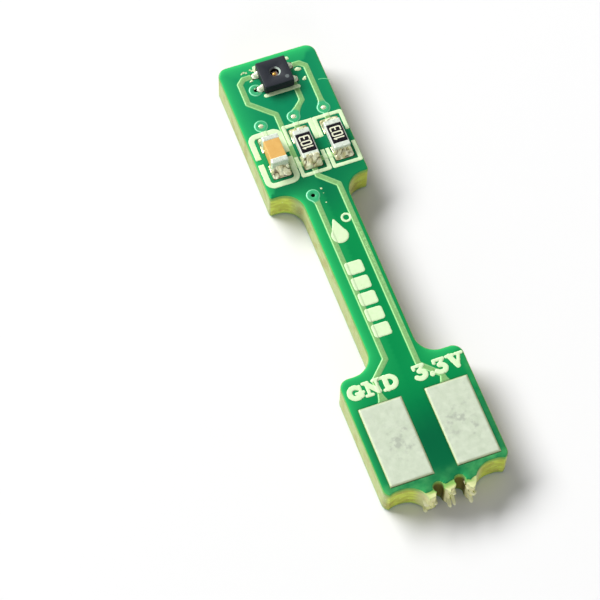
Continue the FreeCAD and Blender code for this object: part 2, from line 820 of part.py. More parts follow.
def save_board():
    """Laminate, copper, masks, legends, vias and pad coats."""
    save("board_core", board_core(), back_laminate_z)
    faces = (
        ("front", front_laminate_z, False, front_footprints(),
         {"ground": ground_front(), "supply": supply_front(), "data": data_front(),
          "clock": clock_front()}),
        ("back", back_laminate_z, True, back_footprints(),
         {"ground": ground_back(), "data": data_back(), "clock": clock_back()}),
    )
    for face, base, flipped, footprints, foils in faces:
        coppers = {net: foil.copper() for net, foil in foils.items()}
        for net, copper in coppers.items():
            save(net + "_copper_" + face, copper, base, flipped)
        body = mask_body(foils.values())
        openings = mask_openings(foils.values())
        mask = body.cut(openings).cut(list(coppers.values()))
        save("solder_mask_" + face, mask, base, flipped)
        save("legend_" + face, legend_print(body, openings, footprints), base, flipped)
    for name in VIAS:
        save("via_barrel_" + name, via_barrel(name), back_laminate_z)
    save("via_solder_beads", Part.makeCompound([via_bead(name) for name in BEADED_VIAS]),
         back_laminate_z)
    save("tin_pad_ground", pad_coat(left_pad_x), front_laminate_z)
    save("tin_pad_supply", pad_coat(right_pad_x), front_laminate_z)
    save("tin_pad_data", pad_coat(left_pad_x), back_laminate_z, True)
    save("tin_pad_clock", pad_coat(right_pad_x), back_laminate_z, True)


def save_sensor():
    """Sensor body, element, metal and its four joints."""
    save("sensor_body", sensor_body(), front_laminate_z)
    save("sensor_element", sensor_element(), front_laminate_z)
    save("sensor_die_pad", sensor_die_pad(), front_laminate_z)
    corners = (("ground", -1, -1), ("supply", -1, 1), ("data", 1, -1), ("clock", 1, 1))
    for net, side, level in corners:
        save("sensor_terminal_" + net, sensor_lead(side, level), front_laminate_z)
        save("sensor_solder_" + net, sensor_joint(side, level), front_laminate_z)


def save_chips():
    """Capacitor and the two resistors, with their joints."""
    save("capacitor_ceramic", capacitor_ceramic(), front_laminate_z)
    for end, level in (("upper", 1), ("lower", -1)):
        save("capacitor_end_" + end, capacitor_cap(level), front_laminate_z)
        save("capacitor_solder_" + end, chip_joint(capacitor_x, level, capacitor_joint_height),
             front_laminate_z)
    for net, x in (("data", data_resistor_x), ("clock", clock_resistor_x)):
        prefix = net + "_resistor_"
        save(prefix + "ceramic", resistor_ceramic(x), front_laminate_z)
        save(prefix + "overcoat", resistor_overcoat(x), front_laminate_z)
        for end, level in (("upper", 1), ("lower", -1)):
            save(prefix + "end_" + end, resistor_cap(x, level), front_laminate_z)
            save(prefix + "solder_" + end, chip_joint(x, level, resistor_joint_height),
                 front_laminate_z)


os.makedirs("parts", exist_ok=True)
save_board()
save_sensor()
save_chips()
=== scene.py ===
"""Looks of a small temperature and humidity sensor board, dressed around its solid model.

Plan sizes are written in millimetres and turned into metres when a mesh is made. The frame
is the board's own: the origin under its middle, +Y towards the sensor, +Z the component side.
"""

import logging
import math
from dataclasses import dataclass, field
from enum import Enum
from functools import partial
from typing import Callable, Iterator, Optional, Sequence

import bpy
import numpy as np
from mathutils import Matrix, Vector, noise
from mathutils.geometry import delaunay_2d_cdt


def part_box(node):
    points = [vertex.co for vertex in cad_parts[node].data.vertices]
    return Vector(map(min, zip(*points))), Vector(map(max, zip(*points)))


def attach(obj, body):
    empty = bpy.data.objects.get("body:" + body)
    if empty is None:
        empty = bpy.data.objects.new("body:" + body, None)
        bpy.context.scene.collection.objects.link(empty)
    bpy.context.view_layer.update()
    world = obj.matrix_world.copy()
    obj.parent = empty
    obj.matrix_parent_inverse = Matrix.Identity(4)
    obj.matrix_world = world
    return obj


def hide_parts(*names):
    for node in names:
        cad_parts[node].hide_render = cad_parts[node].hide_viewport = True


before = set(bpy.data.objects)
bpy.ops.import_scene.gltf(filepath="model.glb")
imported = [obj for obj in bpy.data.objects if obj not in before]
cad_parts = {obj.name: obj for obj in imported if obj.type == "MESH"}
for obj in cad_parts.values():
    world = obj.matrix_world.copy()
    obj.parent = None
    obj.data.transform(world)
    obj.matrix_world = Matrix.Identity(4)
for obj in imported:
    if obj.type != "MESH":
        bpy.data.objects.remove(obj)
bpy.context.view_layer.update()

MM = 0.001
BODY = "root"
LOG = logging.getLogger("sensor_board")

# Reach of a search for the nearest edge, in millimetres, and points tested at a time
SEARCH_REACH = 2.0
BATCH = 500

# Room left round a printed shape when its outline is looked for
MARGIN = 0.12

# Corners closer than this become one, and the smallest ring of a turned piece
MERGE = 0.0005
PINHOLE = 0.0004

# Angle in degrees from which an edge is drawn sharp
SHARP = 35.0

# Copper under the mask, and the bare mask
COPPER = 0.035
MASK = 0.025

Array = np.ndarray
Colour = tuple[float, float, float]
Box = tuple[float, float, float, float]
Field = Callable[[Array], Array]
Material = bpy.types.Material
Piece = bpy.types.Object
Socket = bpy.types.NodeSocket

NO_PLACES = np.empty((0, 2))


class Side(Enum):
    """Choice between two opposite sides, 1 and -1."""

    @property
    def word(self) -> str:
        """The side's name as the nodes have it."""
        return self.name.lower()


class Face(Side):
    """The two faces of the board."""

    FRONT = 1
    BACK = -1


class End(Side):
    """The two ends of a chip part, along +Y and -Y."""

    UPPER = 1
    LOWER = -1


# Nets of the two pads on each face
PADS = {Face.FRONT: ("ground", "supply"), Face.BACK: ("data", "clock")}


# Numbers

def smooth_step(share: Array) -> Array:
    """Ease from 0 to 1 as the share goes from 0 to 1."""
    held = np.clip(share, 0.0, 1.0)
    return held * held * (3.0 - 2.0 * held)


def risen(share: Array, low: float) -> Array:
    """Ease from a low value to 1 as the share goes from 0 to 1."""
    return low + (1.0 - low) * smooth_step(share)


def ripple(points: Array, pitch: Sequence[float], seed: float) -> Array:
    """Smooth noise over points.

    Args:
        points: Places in millimetres, one row each, in plan or in space.
        pitch: Distance between bumps along each axis.
        seed: Shift that gives another pattern.

    Returns:
        A value of about -1 to 1 for each point.
    """
    shift = Vector((seed, 1.7 * seed, -seed))
    scaled = np.zeros((len(points), 3))
    scaled[:, :points.shape[1]] = points / np.array(pitch)
    return np.array([noise.noise(Vector(row) + shift) for row in scaled])


def linear(colour: Colour) -> tuple[float, ...]:
    """Scene colour of a screen colour given from 0 to 255."""
    share = np.array(colour) / 255.0
    light = np.where(share <= 0.04045, share / 12.92, ((share + 0.055) / 1.055) ** 2.4)
    return (*light.tolist(), 1.0)


def unit(rows: Array) -> Array:
    """Rows brought to length 1."""
    return rows / np.maximum(np.linalg.norm(rows, axis=1), 1e-9)[:, None]


def raised(plan: Array, level: float) -> Array:
    """Plan places at a height."""
    return np.column_stack([plan, np.full(len(plan), level)])


def cross(first: Array, second: Array) -> Array:
    """Cross product of plan vectors, above zero for a turn to the left."""
    return first[..., 0] * second[..., 1] - first[..., 1] * second[..., 0]


def node_box(name: str) -> tuple[Array, Array]:
    """Lowest and highest corner of a solid node, in millimetres."""
    low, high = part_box(name)
    return np.array(low) / MM, np.array(high) / MM


def node_centre(name: str) -> Array:
    """Middle of a solid node, in millimetres."""
    low, high = node_box(name)
    return (low + high) / 2.0


def box_around(centre: Sequence[float], size: Sequence[float]) -> Box:
    """Plan box of a size round a place."""
    half_x, half_y = size[0] / 2.0, size[1] / 2.0
    return centre[0] - half_x, centre[1] - half_y, centre[0] + half_x, centre[1] + half_y


# Plan geometry

def flat_triangles(node: str, level: float, facing: int) -> Array:
    """Plan of a node's flat face.

    Args:
        node: Name of the solid node.
        level: Height of the face in millimetres.
        facing: 1 for a face that looks up and -1 for one that looks down.

    Returns:
        Plan triangles, counter-clockwise, as an array of shape (n, 3, 2).
    """
    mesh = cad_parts[node].data
    places = np.empty(len(mesh.vertices) * 3)
    mesh.vertices.foreach_get("co", places)
    mesh.calc_loop_triangles()
    index = np.empty(len(mesh.loop_triangles) * 3, dtype=int)
    mesh.loop_triangles.foreach_get("vertices", index)
    corners = (places.reshape(-1, 3) / MM)[index.reshape(-1, 3)]
    turn = cross(corners[:, 1] - corners[:, 0], corners[:, 2] - corners[:, 0])
    at_level = (np.abs(corners[:, :, 2] - level) < 0.002).all(axis=1)
    plan = corners[at_level & (turn * facing > 0.0)][:, :, :2]
    return plan if facing > 0 else plan[:, ::-1]


def border(faces: Sequence[Sequence[int]]) -> list[tuple[int, int]]:
    """Edges that one face alone has, running as in that face."""
    edges = {(a, b) for face in faces for a, b in zip(face, (*face[1:], face[0]))}
    return [(a, b) for a, b in edges if (b, a) not in edges]


def rim_loops(triangles: Array) -> list[Array]:
    """Closed outlines of a plan, with the plan on their left.

    Args:
        triangles: Plan triangles of shape (n, 3, 2).

    Returns:
        One array of points for each outline, the one round the largest area first.
    """
    keys = np.round(triangles.reshape(-1, 2) * 2000.0).astype(int)
    _, first, index = np.unique(keys, axis=0, return_index=True, return_inverse=True)
    places = triangles.reshape(-1, 2)[first]
    following = dict(border(index.reshape(-1, 3)))
    loops = []
    while following:
        start, here = following.popitem()
        chain = [start]
        while here != start and here in following:
            chain.append(here)
            here = following.pop(here)
        loops.append(places[chain])
    return sorted(loops, key=loop_area, reverse=True)


def loop_area(loop: Array) -> float:
    """Area inside a closed outline, below zero where it runs clockwise."""
    return float(cross(loop, np.roll(loop, -1, axis=0)).sum() / 2.0)


def refined(loop: Array, pieces: int = 5, corner: float = 0.5) -> Array:
    """Closed outline with the chords of its arcs divided along the arc.

    Args:
        loop: Points of the outline.
        pieces: Parts that each chord of an arc is divided into.
        corner: Turn in radians from which a point is a sharp corner.

    Returns:
        The finer outline. Straight runs and sharp corners stay as they are.
    """
    chord = np.roll(loop, -1, axis=0) - loop
    length = np.maximum(np.linalg.norm(chord, axis=1), 1e-9)
    along = chord / length[:, None]
    before, before_length = np.roll(along, 1, axis=0), np.roll(length, 1)
    turn = np.arccos(np.clip((along * before).sum(axis=1), -1.0, 1.0))
    tangent = before * length[:, None] + along * before_length[:, None]
    tangent = np.where((before_length > 3.0 * length)[:, None], before, tangent)
    tangent = unit(np.where((length > 3.0 * before_length)[:, None], along, tangent))
    finer = []
    for i in range(len(loop)):
        j = (i + 1) % len(loop)
        finer.append(loop[i])
        start, end = tangent[i], tangent[j]
        if turn[i] > corner and turn[j] > corner:
            continue
        if turn[i] > corner:
            start = 2.0 * along[i] * (end @ along[i]) - end
        if turn[j] > corner:
            end = 2.0 * along[i] * (start @ along[i]) - start
        if min(start @ along[i], end @ along[i]) > 0.99995:
            continue
        handle = length[i] / 3.0
        for share in np.arange(1, pieces) / pieces:
            rest = 1.0 - share
            finer.append(rest**3 * loop[i] + share**3 * loop[j]
                         + 3.0 * rest**2 * share * (loop[i] + start * handle)
                         + 3.0 * rest * share**2 * (loop[j] - end * handle))
    return np.array(finer)


def divided(line: Array, step: float, closed: bool = True) -> Array:
    """Outline or line with no run longer than the step.

    Args:
        line: Points of the line.
        step: Longest run.
        closed: Whether the last point joins the first.

    Returns:
        The points with more between them.
    """
    points = []
    for start, end in zip(line, np.roll(line, -1, axis=0) if closed else line[1:]):
        count = max(1, math.ceil(float(np.linalg.norm(end - start)) / step))
        points += [start + (end - start) * k / count for k in range(count)]
    return np.array(points if closed else points + [line[-1]])


def resampled(line: Array, count: int) -> Array:
    """Open line as a count of points at even distances."""
    reach = np.concatenate([[0.0], np.cumsum(np.linalg.norm(np.diff(line, axis=0), axis=1))])
    return np.column_stack([np.interp(np.linspace(0.0, reach[-1], count), reach, line[:, k])
                            for k in (0, 1)])


def outward(loop: Array) -> Array:
    """Unit directions that point out of a counter-clockwise outline, one for each point."""
    along = unit(np.roll(loop, -1, axis=0) - np.roll(loop, 1, axis=0))
    return np.column_stack([along[:, 1], -along[:, 0]])


def circle(centre: Sequence[float], radius: float, count: int = 40) -> Array:
    """Round outline, counter-clockwise."""
    angle = np.linspace(0.0, 2.0 * math.pi, count, endpoint=False)
    return np.column_stack([centre[0] + radius * np.cos(angle), centre[1] + radius * np.sin(angle)])


def rectangle(box: Box, radius: float = 0.0, arc: int = 6) -> Array:
    """Rectangular outline with rounded corners, counter-clockwise.

    Args:
        box: Low x, low y, high x and high y.
        radius: Radius of the corners.
        arc: Parts of each corner's arc.

    Returns:
        The outline's points.
    """
    left, low, right, high = (box[0] + radius, box[1] + radius, box[2] - radius, box[3] - radius)
    if radius <= 0.0:
        return np.array([(left, low), (right, low), (right, high), (left, high)])
    arcs = []
    for quarter, centre in enumerate(((right, high), (left, high), (left, low), (right, low))):
        angle = (quarter + np.arange(arc + 1) / arc) * math.pi / 2.0
        arcs.append(centre + radius * np.column_stack([np.cos(angle), np.sin(angle)]))
    return np.concatenate(arcs)


def loop_segments(loops: Sequence[Array]) -> Array:
    """All the edges of the outlines, as an array of shape (n, 2, 2)."""
    return np.concatenate([np.stack([loop, np.roll(loop, -1, axis=0)], axis=1) for loop in loops])


def row_batches(points: Array, segments: Array, reach: float) -> Iterator[tuple[Array, Array]]:
    """Points in batches by height, each with the edges near it.

    Args:
        points: Places, one row each.
        segments: Edges of shape (n, 2, 2).
        reach: How far an edge may lie from a batch.

    Yields:
        The numbers of a batch's points and of the edges near them.
    """
    low, high = segments[:, :, 1].min(axis=1), segments[:, :, 1].max(axis=1)
    order = np.argsort(points[:, 1])
    for batch in np.array_split(order, max(1, len(points) // BATCH)):
        if len(batch):
            y = points[batch, 1]
            yield batch, np.nonzero((low <= y.max() + reach) & (high >= y.min() - reach))[0]


def inside(points: Array, segments: Array) -> Array:
    """Whether points lie inside outlines, counted by crossings.

    Args:
        points: Places, one row each.
        segments: Edges of the outlines.

    Returns:
        True or False for each point.
    """
    result = np.zeros(len(points), dtype=bool)
    for batch, near in row_batches(points, segments, 0.0):
        start, end = segments[near, 0], segments[near, 1]
        rise = end[:, 1] - start[:, 1]
        rise = np.where(np.abs(rise) < 1e-12, 1e-12, rise)
        x, y = points[batch, :1], points[batch, 1:]
        across = (start[:, 1] > y) != (end[:, 1] > y)
        meet = start[:, 0] + (y - start[:, 1]) * (end[:, 0] - start[:, 0]) / rise
        result[batch] = (across & (x < meet)).sum(axis=1) % 2 == 1
    return result


def nearest_edge(points: Array, segments: Array) -> tuple[Array, Array]:
    """Nearest edge of each point, looked for within a fixed reach.

    Args:
        points: Places, one row each.
        segments: Edges of shape (n, 2, 2).

    Returns:
        The distances, held at the reach, and the numbers of the edges.
    """
    distance = np.full(len(points), SEARCH_REACH)
    number = np.zeros(len(points), dtype=int)
    for batch, near in row_batches(points, segments, SEARCH_REACH):
        if not len(near):
            continue
        start = segments[near, 0]
        run = segments[near, 1] - start
        square = np.maximum((run**2).sum(axis=1), 1e-12)
        gap = points[batch, None, :] - start
        share = np.clip((gap * run).sum(axis=2) / square, 0.0, 1.0)
        away = ((gap - share[:, :, None] * run) ** 2).sum(axis=2)
        best = away.argmin(axis=1)
        found = np.sqrt(away[np.arange(len(batch)), best])
        distance[batch] = np.minimum(found, SEARCH_REACH)
        number[batch] = near[best]
    return distance, number


def edge_distance(points: Array, segments: Array) -> Array:
    """Distance from each point to the nearest of the edges, held at the search reach."""
    return nearest_edge(points, segments)[0]


def triangulated(segments: Array, points: Array = NO_PLACES) -> tuple[Array, Array]:
    """Triangles over edges and points.

    Args:
        segments: Edges that the triangles keep, of shape (n, 2, 2).
        points: Further places for corners.

    Returns:
        The corners and the index triples of counter-clockwise triangles.
    """
    corners = [Vector(p) for p in np.concatenate([segments.reshape(-1, 2), points])]
    edges = [(2 * k, 2 * k + 1) for k in range(len(segments))]
    places, _, faces, _, _, _ = delaunay_2d_cdt(corners, edges, [], 0, 1e-5)
    return np.array([tuple(p) for p in places]), np.array(faces, dtype=int)


def filled(segments: Array, points: Array = NO_PLACES) -> tuple[Array, Array]:
    """Corners and triangles of what lies inside outlines."""
    corners, triangles = triangulated(segments, points)
    return corners, triangles[inside(corners[triangles].mean(axis=1), segments)]


def inside_any(points: Array, outlines: Sequence[Array]) -> Array:
    """Whether each point lies inside at least one of several groups of edges."""
    return np.any([inside(points, segments) for segments in outlines], axis=0)


def slivers(triangles: Array, height: float = 0.0008) -> Array:
    """Which triangles are lower than a height."""
    sides = np.roll(triangles, -1, axis=1) - triangles
    longest = np.linalg.norm(sides, axis=2).max(axis=1)
    return np.abs(cross(sides[:, 0], sides[:, 1])) < height * longest


def grid_points(box: Box, step: float) -> Array:
    """Staggered places over a box.

    Args:
        box: The region.
        step: Distance between places.

    Returns:
        The places, one row each.
    """
    rows = []
    for number, y in enumerate(np.arange(box[1], box[3], step * 0.87)):
        rows.append(raised(np.arange(box[0] + (number % 2) * step / 2.0, box[2], step), y))
    return np.concatenate(rows)


def beside(segments: Array, offsets: Sequence[float], step: float) -> Array:
    """Places along both sides of edges.

    Args:
        segments: Edges of shape (n, 2, 2).
        offsets: Distances to the right of each edge, below 0 for the left.
        step: Distance between places along an edge.

    Returns:
        The places, one row each.
    """
    places = []
    for start, end in segments:
        length = float(np.linalg.norm(end - start))
        if length < 1e-6:
            continue
        along = (end - start) / length
        across = np.array([along[1], -along[0]])
        count = max(1, round(length / step))
        stations = start + along * (length * (np.arange(count) + 0.5) / count)[:, None]
        places += [stations + across * offset for offset in offsets]
    return np.concatenate(places)


def thinned(points: Array, cell: float) -> Array:
    """Points with no more than one in each cell."""
    _, first = np.unique(np.floor(points / cell).astype(int), axis=0, return_index=True)
    return points[np.sort(first)]


def spread(points: Sequence[Array], segments: Array, clear: float, cell: float = 0.014) -> Array:
    """Places for the corners of a sheet.

    Args:
        points: Groups of places.
        segments: Outlines that the places must lie inside.
        clear: Least distance from the outlines.
        cell: Size of the cells that hold one place each.

    Returns:
        The places that stay.
    """
    kept = thinned(np.concatenate(points), cell)
    kept = kept[inside(kept, segments)]
    return kept[edge_distance(kept, segments) > clear]


def contours(shape: Field, box: Box, step: float) -> list[Array]:
    """Outlines where a field passes zero.

    Args:
        shape: Field that is below zero inside the shape, as a function of plan points.
        box: Region that holds the whole shape.
        step: Size of the cells that are searched.

    Returns:
        The closed outlines.
    """
    xs = np.arange(box[0] - MARGIN, box[2] + MARGIN + step, step)
    ys = np.arange(box[1] - MARGIN, box[3] + MARGIN + step, step)
    mesh_x, mesh_y = np.meshgrid(xs, ys, indexing="ij")
    value = shape(np.column_stack([mesh_x.ravel(), mesh_y.ravel()])).reshape(mesh_x.shape)
    value = np.where(np.abs(value) < 1e-9, 1e-9, value)
    within = value < 0.0
    mixed = within[:-1, :-1] ^ within[1:, :-1] | within[:-1, :-1] ^ within[:-1, 1:]
    mixed |= within[1:, 1:] ^ within[1:, :-1]
    links: dict[tuple, list[tuple]] = {}
    place: dict[tuple, Array] = {}
    for i, j in zip(*np.nonzero(mixed)):
        ring = ((i, j), (i + 1, j), (i + 1, j + 1), (i, j + 1))
        crossed = []
        for a, b in zip(ring, ring[1:] + ring[:1]):
            if within[a] == within[b]:
                continue
            key = (min(a, b), max(a, b))
            share = value[key[0]] / (value[key[0]] - value[key[1]])
            low = np.array([xs[key[0][0]], ys[key[0][1]]])
            high = np.array([xs[key[1][0]], ys[key[1][1]]])
            place[key] = low + (high - low) * share
            crossed.append(key)
        for a, b in zip(crossed[::2], crossed[1::2]):
            links.setdefault(a, []).append(b)
            links.setdefault(b, []).append(a)
    loops = []
    while links:
        here = next(iter(links))
        chain = []
        while here in links:
            chain.append(here)
            neighbours = links.pop(here)
            here = next((n for n in neighbours if n in links), None)
        if len(chain) > 4:
            loops.append(np.array([place[key] for key in chain]))
    return loops


# Fields of printed shapes

def box_field(points: Array, box: Box, radius: float) -> Array:
    """Distance to a rounded rectangle, below zero inside it.

    Args:
        points: Plan places.
        box: The rectangle.
        radius: Radius of its corners.

    Returns:
        The distance of each place.
    """
    low, high = np.array(box[:2]), np.array(box[2:])
    reach = np.abs(points - (low + high) / 2.0) - (high - low) / 2.0 + radius
    outer = np.sqrt((np.maximum(reach, 0.0) ** 2).sum(axis=1))
    return outer + np.minimum(reach.max(axis=1), 0.0) - radius


def stroke_field(points: Array, line: Array, width: float) -> Array:
    """Distance to a thick line with round ends, below zero inside it."""
    segments = np.stack([line[:-1], line[1:]], axis=1)
    return edge_distance(points, segments) - width / 2.0


# Meshes

def grid_plan(first: Array, second: Array) -> Array:
    """Places of a grid over two axes, the second one running fastest."""
    return np.stack(np.meshgrid(first, second, indexing="ij"), axis=-1).reshape(-1, 2)


def grid_faces(rows: int, columns: int) -> list[tuple[int, ...]]:
    """Squares between the points of a grid, counter-clockwise for rows along x."""
    return [(k, k + columns, k + columns + 1, k + 1)
            for i in range(rows - 1) for k in range(i * columns, (i + 1) * columns - 1)]


@dataclass
class Draft:
    """Mesh in the making, in millimetres."""

    places: list[Array] = field(default_factory=list)
    faces: list[tuple[int, ...]] = field(default_factory=list)
    values: dict[str, list[Array]] = field(default_factory=dict)
    count: int = 0

    def add(self, places: Array, faces: Sequence[Sequence[int]], **values: Array) -> None:
        """Add a patch.

        Args:
            places: Corners of shape (n, 3).
            faces: Index tuples into those corners, counter-clockwise from outside.
            values: Named numbers, one for each corner. They are 0 where none are given.
        """
        self.faces += [tuple(int(k) + self.count for k in face) for face in faces]
        self.places.append(places)
        for name in dict.fromkeys([*self.values, *values]):
            held = self.values.setdefault(name, [np.zeros(self.count)])
            held.append(values.get(name, np.zeros(len(places))))
        self.count += len(places)

    def loft(self, loops: Sequence[Array], lids: bool = False, **values: Array) -> None:
        """Add a skin through rings of equal count.

        Args:
            loops: The rings, rising, each counter-clockwise from above.
            lids: Whether both ends are closed.
            values: Named numbers, one for each corner.
        """
        count = len(loops[0])
        ring = list(range(count))
        faces = []
        for low in range(0, (len(loops) - 1) * count, count):
            faces += [(low + k, low + after, low + count + after, low + count + k)
                      for k, after in zip(ring, ring[1:] + ring[:1])]
        if lids:
            faces += [ring[::-1], [(len(loops) - 1) * count + k for k in ring]]
        self.add(np.concatenate(loops), faces, **values)

    def cap(self, loops: Sequence[Array], level: float, up: bool) -> None:
        """Close outlines with a flat face at a height, looking up or down."""
        corners, triangles = filled(loop_segments(loops))
        self.add(raised(corners, level), triangles if up else triangles[:, ::-1])

    def spin(self, profile: Sequence[tuple[float, float]], centre: Sequence[float],
             count: int = 48) -> None:
        """Add a turned skin, closed at both ends where it starts on the axis.

        Args:
            profile: Radius and height of each ring, in the order that keeps the outside out:
                outwards and down for a dome, outwards and up for a cup seen from above.
            centre: Plan place of the axis.
            count: Points round the axis.
        """
        rings = [raised(circle(centre, max(r, PINHOLE), count), z) for r, z in profile]
        self.loft(rings[::-1], lids=profile[0][0] <= 0.0)

    def shell(self, outer: Array, inner: Array, faces: Sequence[Sequence[int]],
              flip: bool = False, **values: Array) -> None:
        """Add two skins and the wall between their borders.

        Args:
            outer: Corners of the outer skin.
            inner: Corners of the inner skin, as many.
            faces: Index tuples of one skin.
            flip: Whether the outer skin lies below the inner one.
            values: Named numbers, one for each corner of both.
        """
        size = len(outer)
        rings = [tuple(face) for face in faces]
        rings += [tuple(k + size for k in face[::-1]) for face in rings]
        rings += [(b, a, a + size, b + size) for a, b in sorted(border(faces))]
        self.add(np.concatenate([outer, inner]), [ring[::-1] for ring in rings] if flip else rings,
                 **values)

    def finish(self, name: str, material: Optional[Material] = None,
               sharp: float = SHARP) -> Piece:
        """Turn the draft into an object.

        Args:
            name: Name of the piece.
            material: Its material.
            sharp: Angle in degrees from which an edge is drawn sharp.

        Returns:
            The object, at the origin, in metres.
        """
        places = np.concatenate(self.places)
        keys = np.round(places / MERGE).astype(np.int64)
        _, first, index = np.unique(keys, axis=0, return_index=True, return_inverse=True)
        index = index.reshape(-1)
        faces = []
        for face in self.faces:
            ring = [int(index[k]) for k in face]
            ring = [k for n, k in enumerate(ring) if k != ring[n - 1]]
            if len(set(ring)) >= 3:
                faces.append(ring)
        mesh = bpy.data.meshes.new(name)
        mesh.from_pydata((places[first] * MM).tolist(), [], faces)
        for key, parts in self.values.items():
            attribute = mesh.attributes.new(key, "FLOAT", "POINT")
            attribute.data.foreach_set("value", np.concatenate(parts)[first].astype(np.float32))
        mesh.validate()
        if material is not None:
            mesh.materials.append(material)
        return smoothed(linked_object(name, mesh), sharp)

    def piece(self, name: str, finish: str, nodes: Sequence[str] = (),
              sharp: float = SHARP) -> None:
        """Turn the draft into a dressed piece of the board."""
        settle(self.finish(name, MATERIALS[finish], sharp), nodes)


def linked_object(name: str, data: bpy.types.ID) -> Piece:
    """Object of a mesh, a lamp or a camera, linked to the scene."""
    made = bpy.data.objects.new(name, data)
    bpy.context.scene.collection.objects.link(made)
    return made


def smoothed(piece: Piece, sharp: float) -> Piece:
    """Shade a piece smoothly, apart from its sharp edges."""
    piece.data.shade_smooth()
    piece.data.set_sharp_from_angle(angle=math.radians(sharp))
    return piece


def settle(piece: Piece, nodes: Sequence[str] = ()) -> None:
    """Hand a finished piece to the frame.

    Args:
        piece: The piece.
        nodes: Solid nodes that it stands for.
    """
    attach(piece, BODY)
    if nodes:
        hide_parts(*nodes)
    LOG.info("%s: %d faces", piece.name, len(piece.data.polygons))


# Shader parts

class NodeBench:
    """Helper that places and links nodes in one tree."""

    def __init__(self, tree: bpy.types.NodeTree) -> None:
        """Start on an empty tree."""
        self.tree = tree
        tree.nodes.clear()

    def add(self, kind: str, inputs: Optional[dict] = None, **settings: object) -> bpy.types.Node:
        """Place a node.

        Args:
            kind: Blender's name of the node type.
            inputs: Value or output socket for inputs, by name or number.
            settings: Properties of the node.

        Returns:
            The node.
        """
        node = self.tree.nodes.new(kind)
        for name, value in settings.items():
            setattr(node, name, value)
        for name, value in (inputs or {}).items():
            self.feed(node.inputs[name], value)
        return node

    def feed(self, socket: Socket, value: object) -> None:
        """Link an output socket to an input, or set the input's own value."""
        if isinstance(value, Socket):
            self.tree.links.new(value, socket)
        else:
            socket.default_value = value

    def math(self, operation: str, *values: object) -> Socket:
        """Result of a sum on sockets or numbers."""
        return self.add("ShaderNodeMath", dict(enumerate(values)), operation=operation).outputs[0]

    def product(self, *values: object) -> Socket:
        """Product of sockets and numbers."""
        result = values[0]
        for value in values[1:]:
            result = self.math("MULTIPLY", result, value)
        return result

    def span(self, value: object, low: float, high: float, to_low: float = 0.0,
             to_high: float = 1.0, smooth: bool = True) -> Socket:
        """Value moved from one range to another, held at the ends."""
        return self.add("ShaderNodeMapRange", {"Value": value, "From Min": low, "From Max": high,
                                               "To Min": to_low, "To Max": to_high},
                        interpolation_type="SMOOTHSTEP" if smooth else "LINEAR").outputs["Result"]

    def mix(self, share: object, first: object, second: object) -> Socket:
        """Blend of two colours, given as sockets or as screen colours."""
        pair = [linear(c) if isinstance(c, tuple) else c for c in (first, second)]
        return self.add("ShaderNodeMix", {0: share, 6: pair[0], 7: pair[1]},
                        data_type="RGBA").outputs[2]

    def mark(self, name: str) -> Socket:
        """Number stored on the mesh."""
        return self.add("ShaderNodeAttribute", attribute_name=name).outputs["Fac"]

    def parts(self, vector: Socket) -> bpy.types.NodeOutputs:
        """The three parts of a vector."""
        return self.add("ShaderNodeSeparateXYZ", {0: vector}).outputs

    def place(self) -> Socket:
        """Place on the board."""
        return self.add("ShaderNodeTexCoord").outputs["Object"]

    def facing(self) -> bpy.types.NodeOutputs:
        """The three parts of the surface's direction."""
        return self.parts(self.add("ShaderNodeNewGeometry").outputs["Normal"])

    def laid(self, colour: Socket, *layers: tuple[object, object]) -> Socket:
        """Colour with others laid over it, each given as its weight and its tone."""
        for weight, tone in layers:
            colour = self.mix(weight, colour, tone)
        return colour

    def group(self, kind: str, **inputs: object) -> Socket:
        """Output of a shared group that is given its own values."""
        return self.add("ShaderNodeGroup", inputs, node_tree=GROUPS[kind]).outputs[0]


class GroupTree:
    """A shader node group in the making, with number inputs and one output."""

    def __init__(self, name: str, kind: str = "Float", **inputs: float) -> None:
        """Start the group.

        Args:
            name: Name of the group.
            kind: Type of its output.
            inputs: Its inputs and their usual values, beside Pitch and Shift.
        """
        tree = bpy.data.node_groups.new(name, "ShaderNodeTree")
        for label, value in {"Pitch": 0.3, "Shift": 0.0, **inputs}.items():
            tree.interface.new_socket(label, in_out="INPUT",
                                      socket_type="NodeSocketFloat").default_value = value
        tree.interface.new_socket("Result", in_out="OUTPUT", socket_type="NodeSocket" + kind)
        self.bench = NodeBench(tree)
        self.given = self.bench.add("NodeGroupInput").outputs

    def pattern(self, kind: str, **inputs: object) -> bpy.types.NodeOutputs:
        """Texture at the group's pitch and shift.

        Args:
            kind: Blender's name of the texture node.
            inputs: Its other inputs.

        Returns:
            The outputs of the texture.
        """
        place = self.bench.add("ShaderNodeVectorMath",
                               {0: self.bench.place(), 1: self.given["Shift"]}, operation="ADD")
        scale = self.bench.math("DIVIDE", 1.0 / MM, self.given["Pitch"])
        return self.bench.add(kind, {"Vector": place.outputs[0], "Scale": scale, **inputs}).outputs

    def close(self, result: Socket) -> bpy.types.NodeTree:
        """Put the result out and give the group."""
        self.bench.add("NodeGroupOutput", {0: result})
        return self.bench.tree


def mottle_group() -> bpy.types.NodeTree:
    """Cloudy variation: a value from 0 to 1 with soft patches of a given pitch.

    Returns:
        The group.
    """
    made = GroupTree("mottle", Detail=3.0, Contrast=1.0)
    cloud = made.pattern("ShaderNodeTexNoise", Detail=made.given["Detail"], Roughness=0.55)[0]
    centred = made.bench.math("SUBTRACT", cloud, 0.5)
    return made.close(made.bench.math("ADD", made.bench.product(centred, made.given["Contrast"]),
                                      0.5))


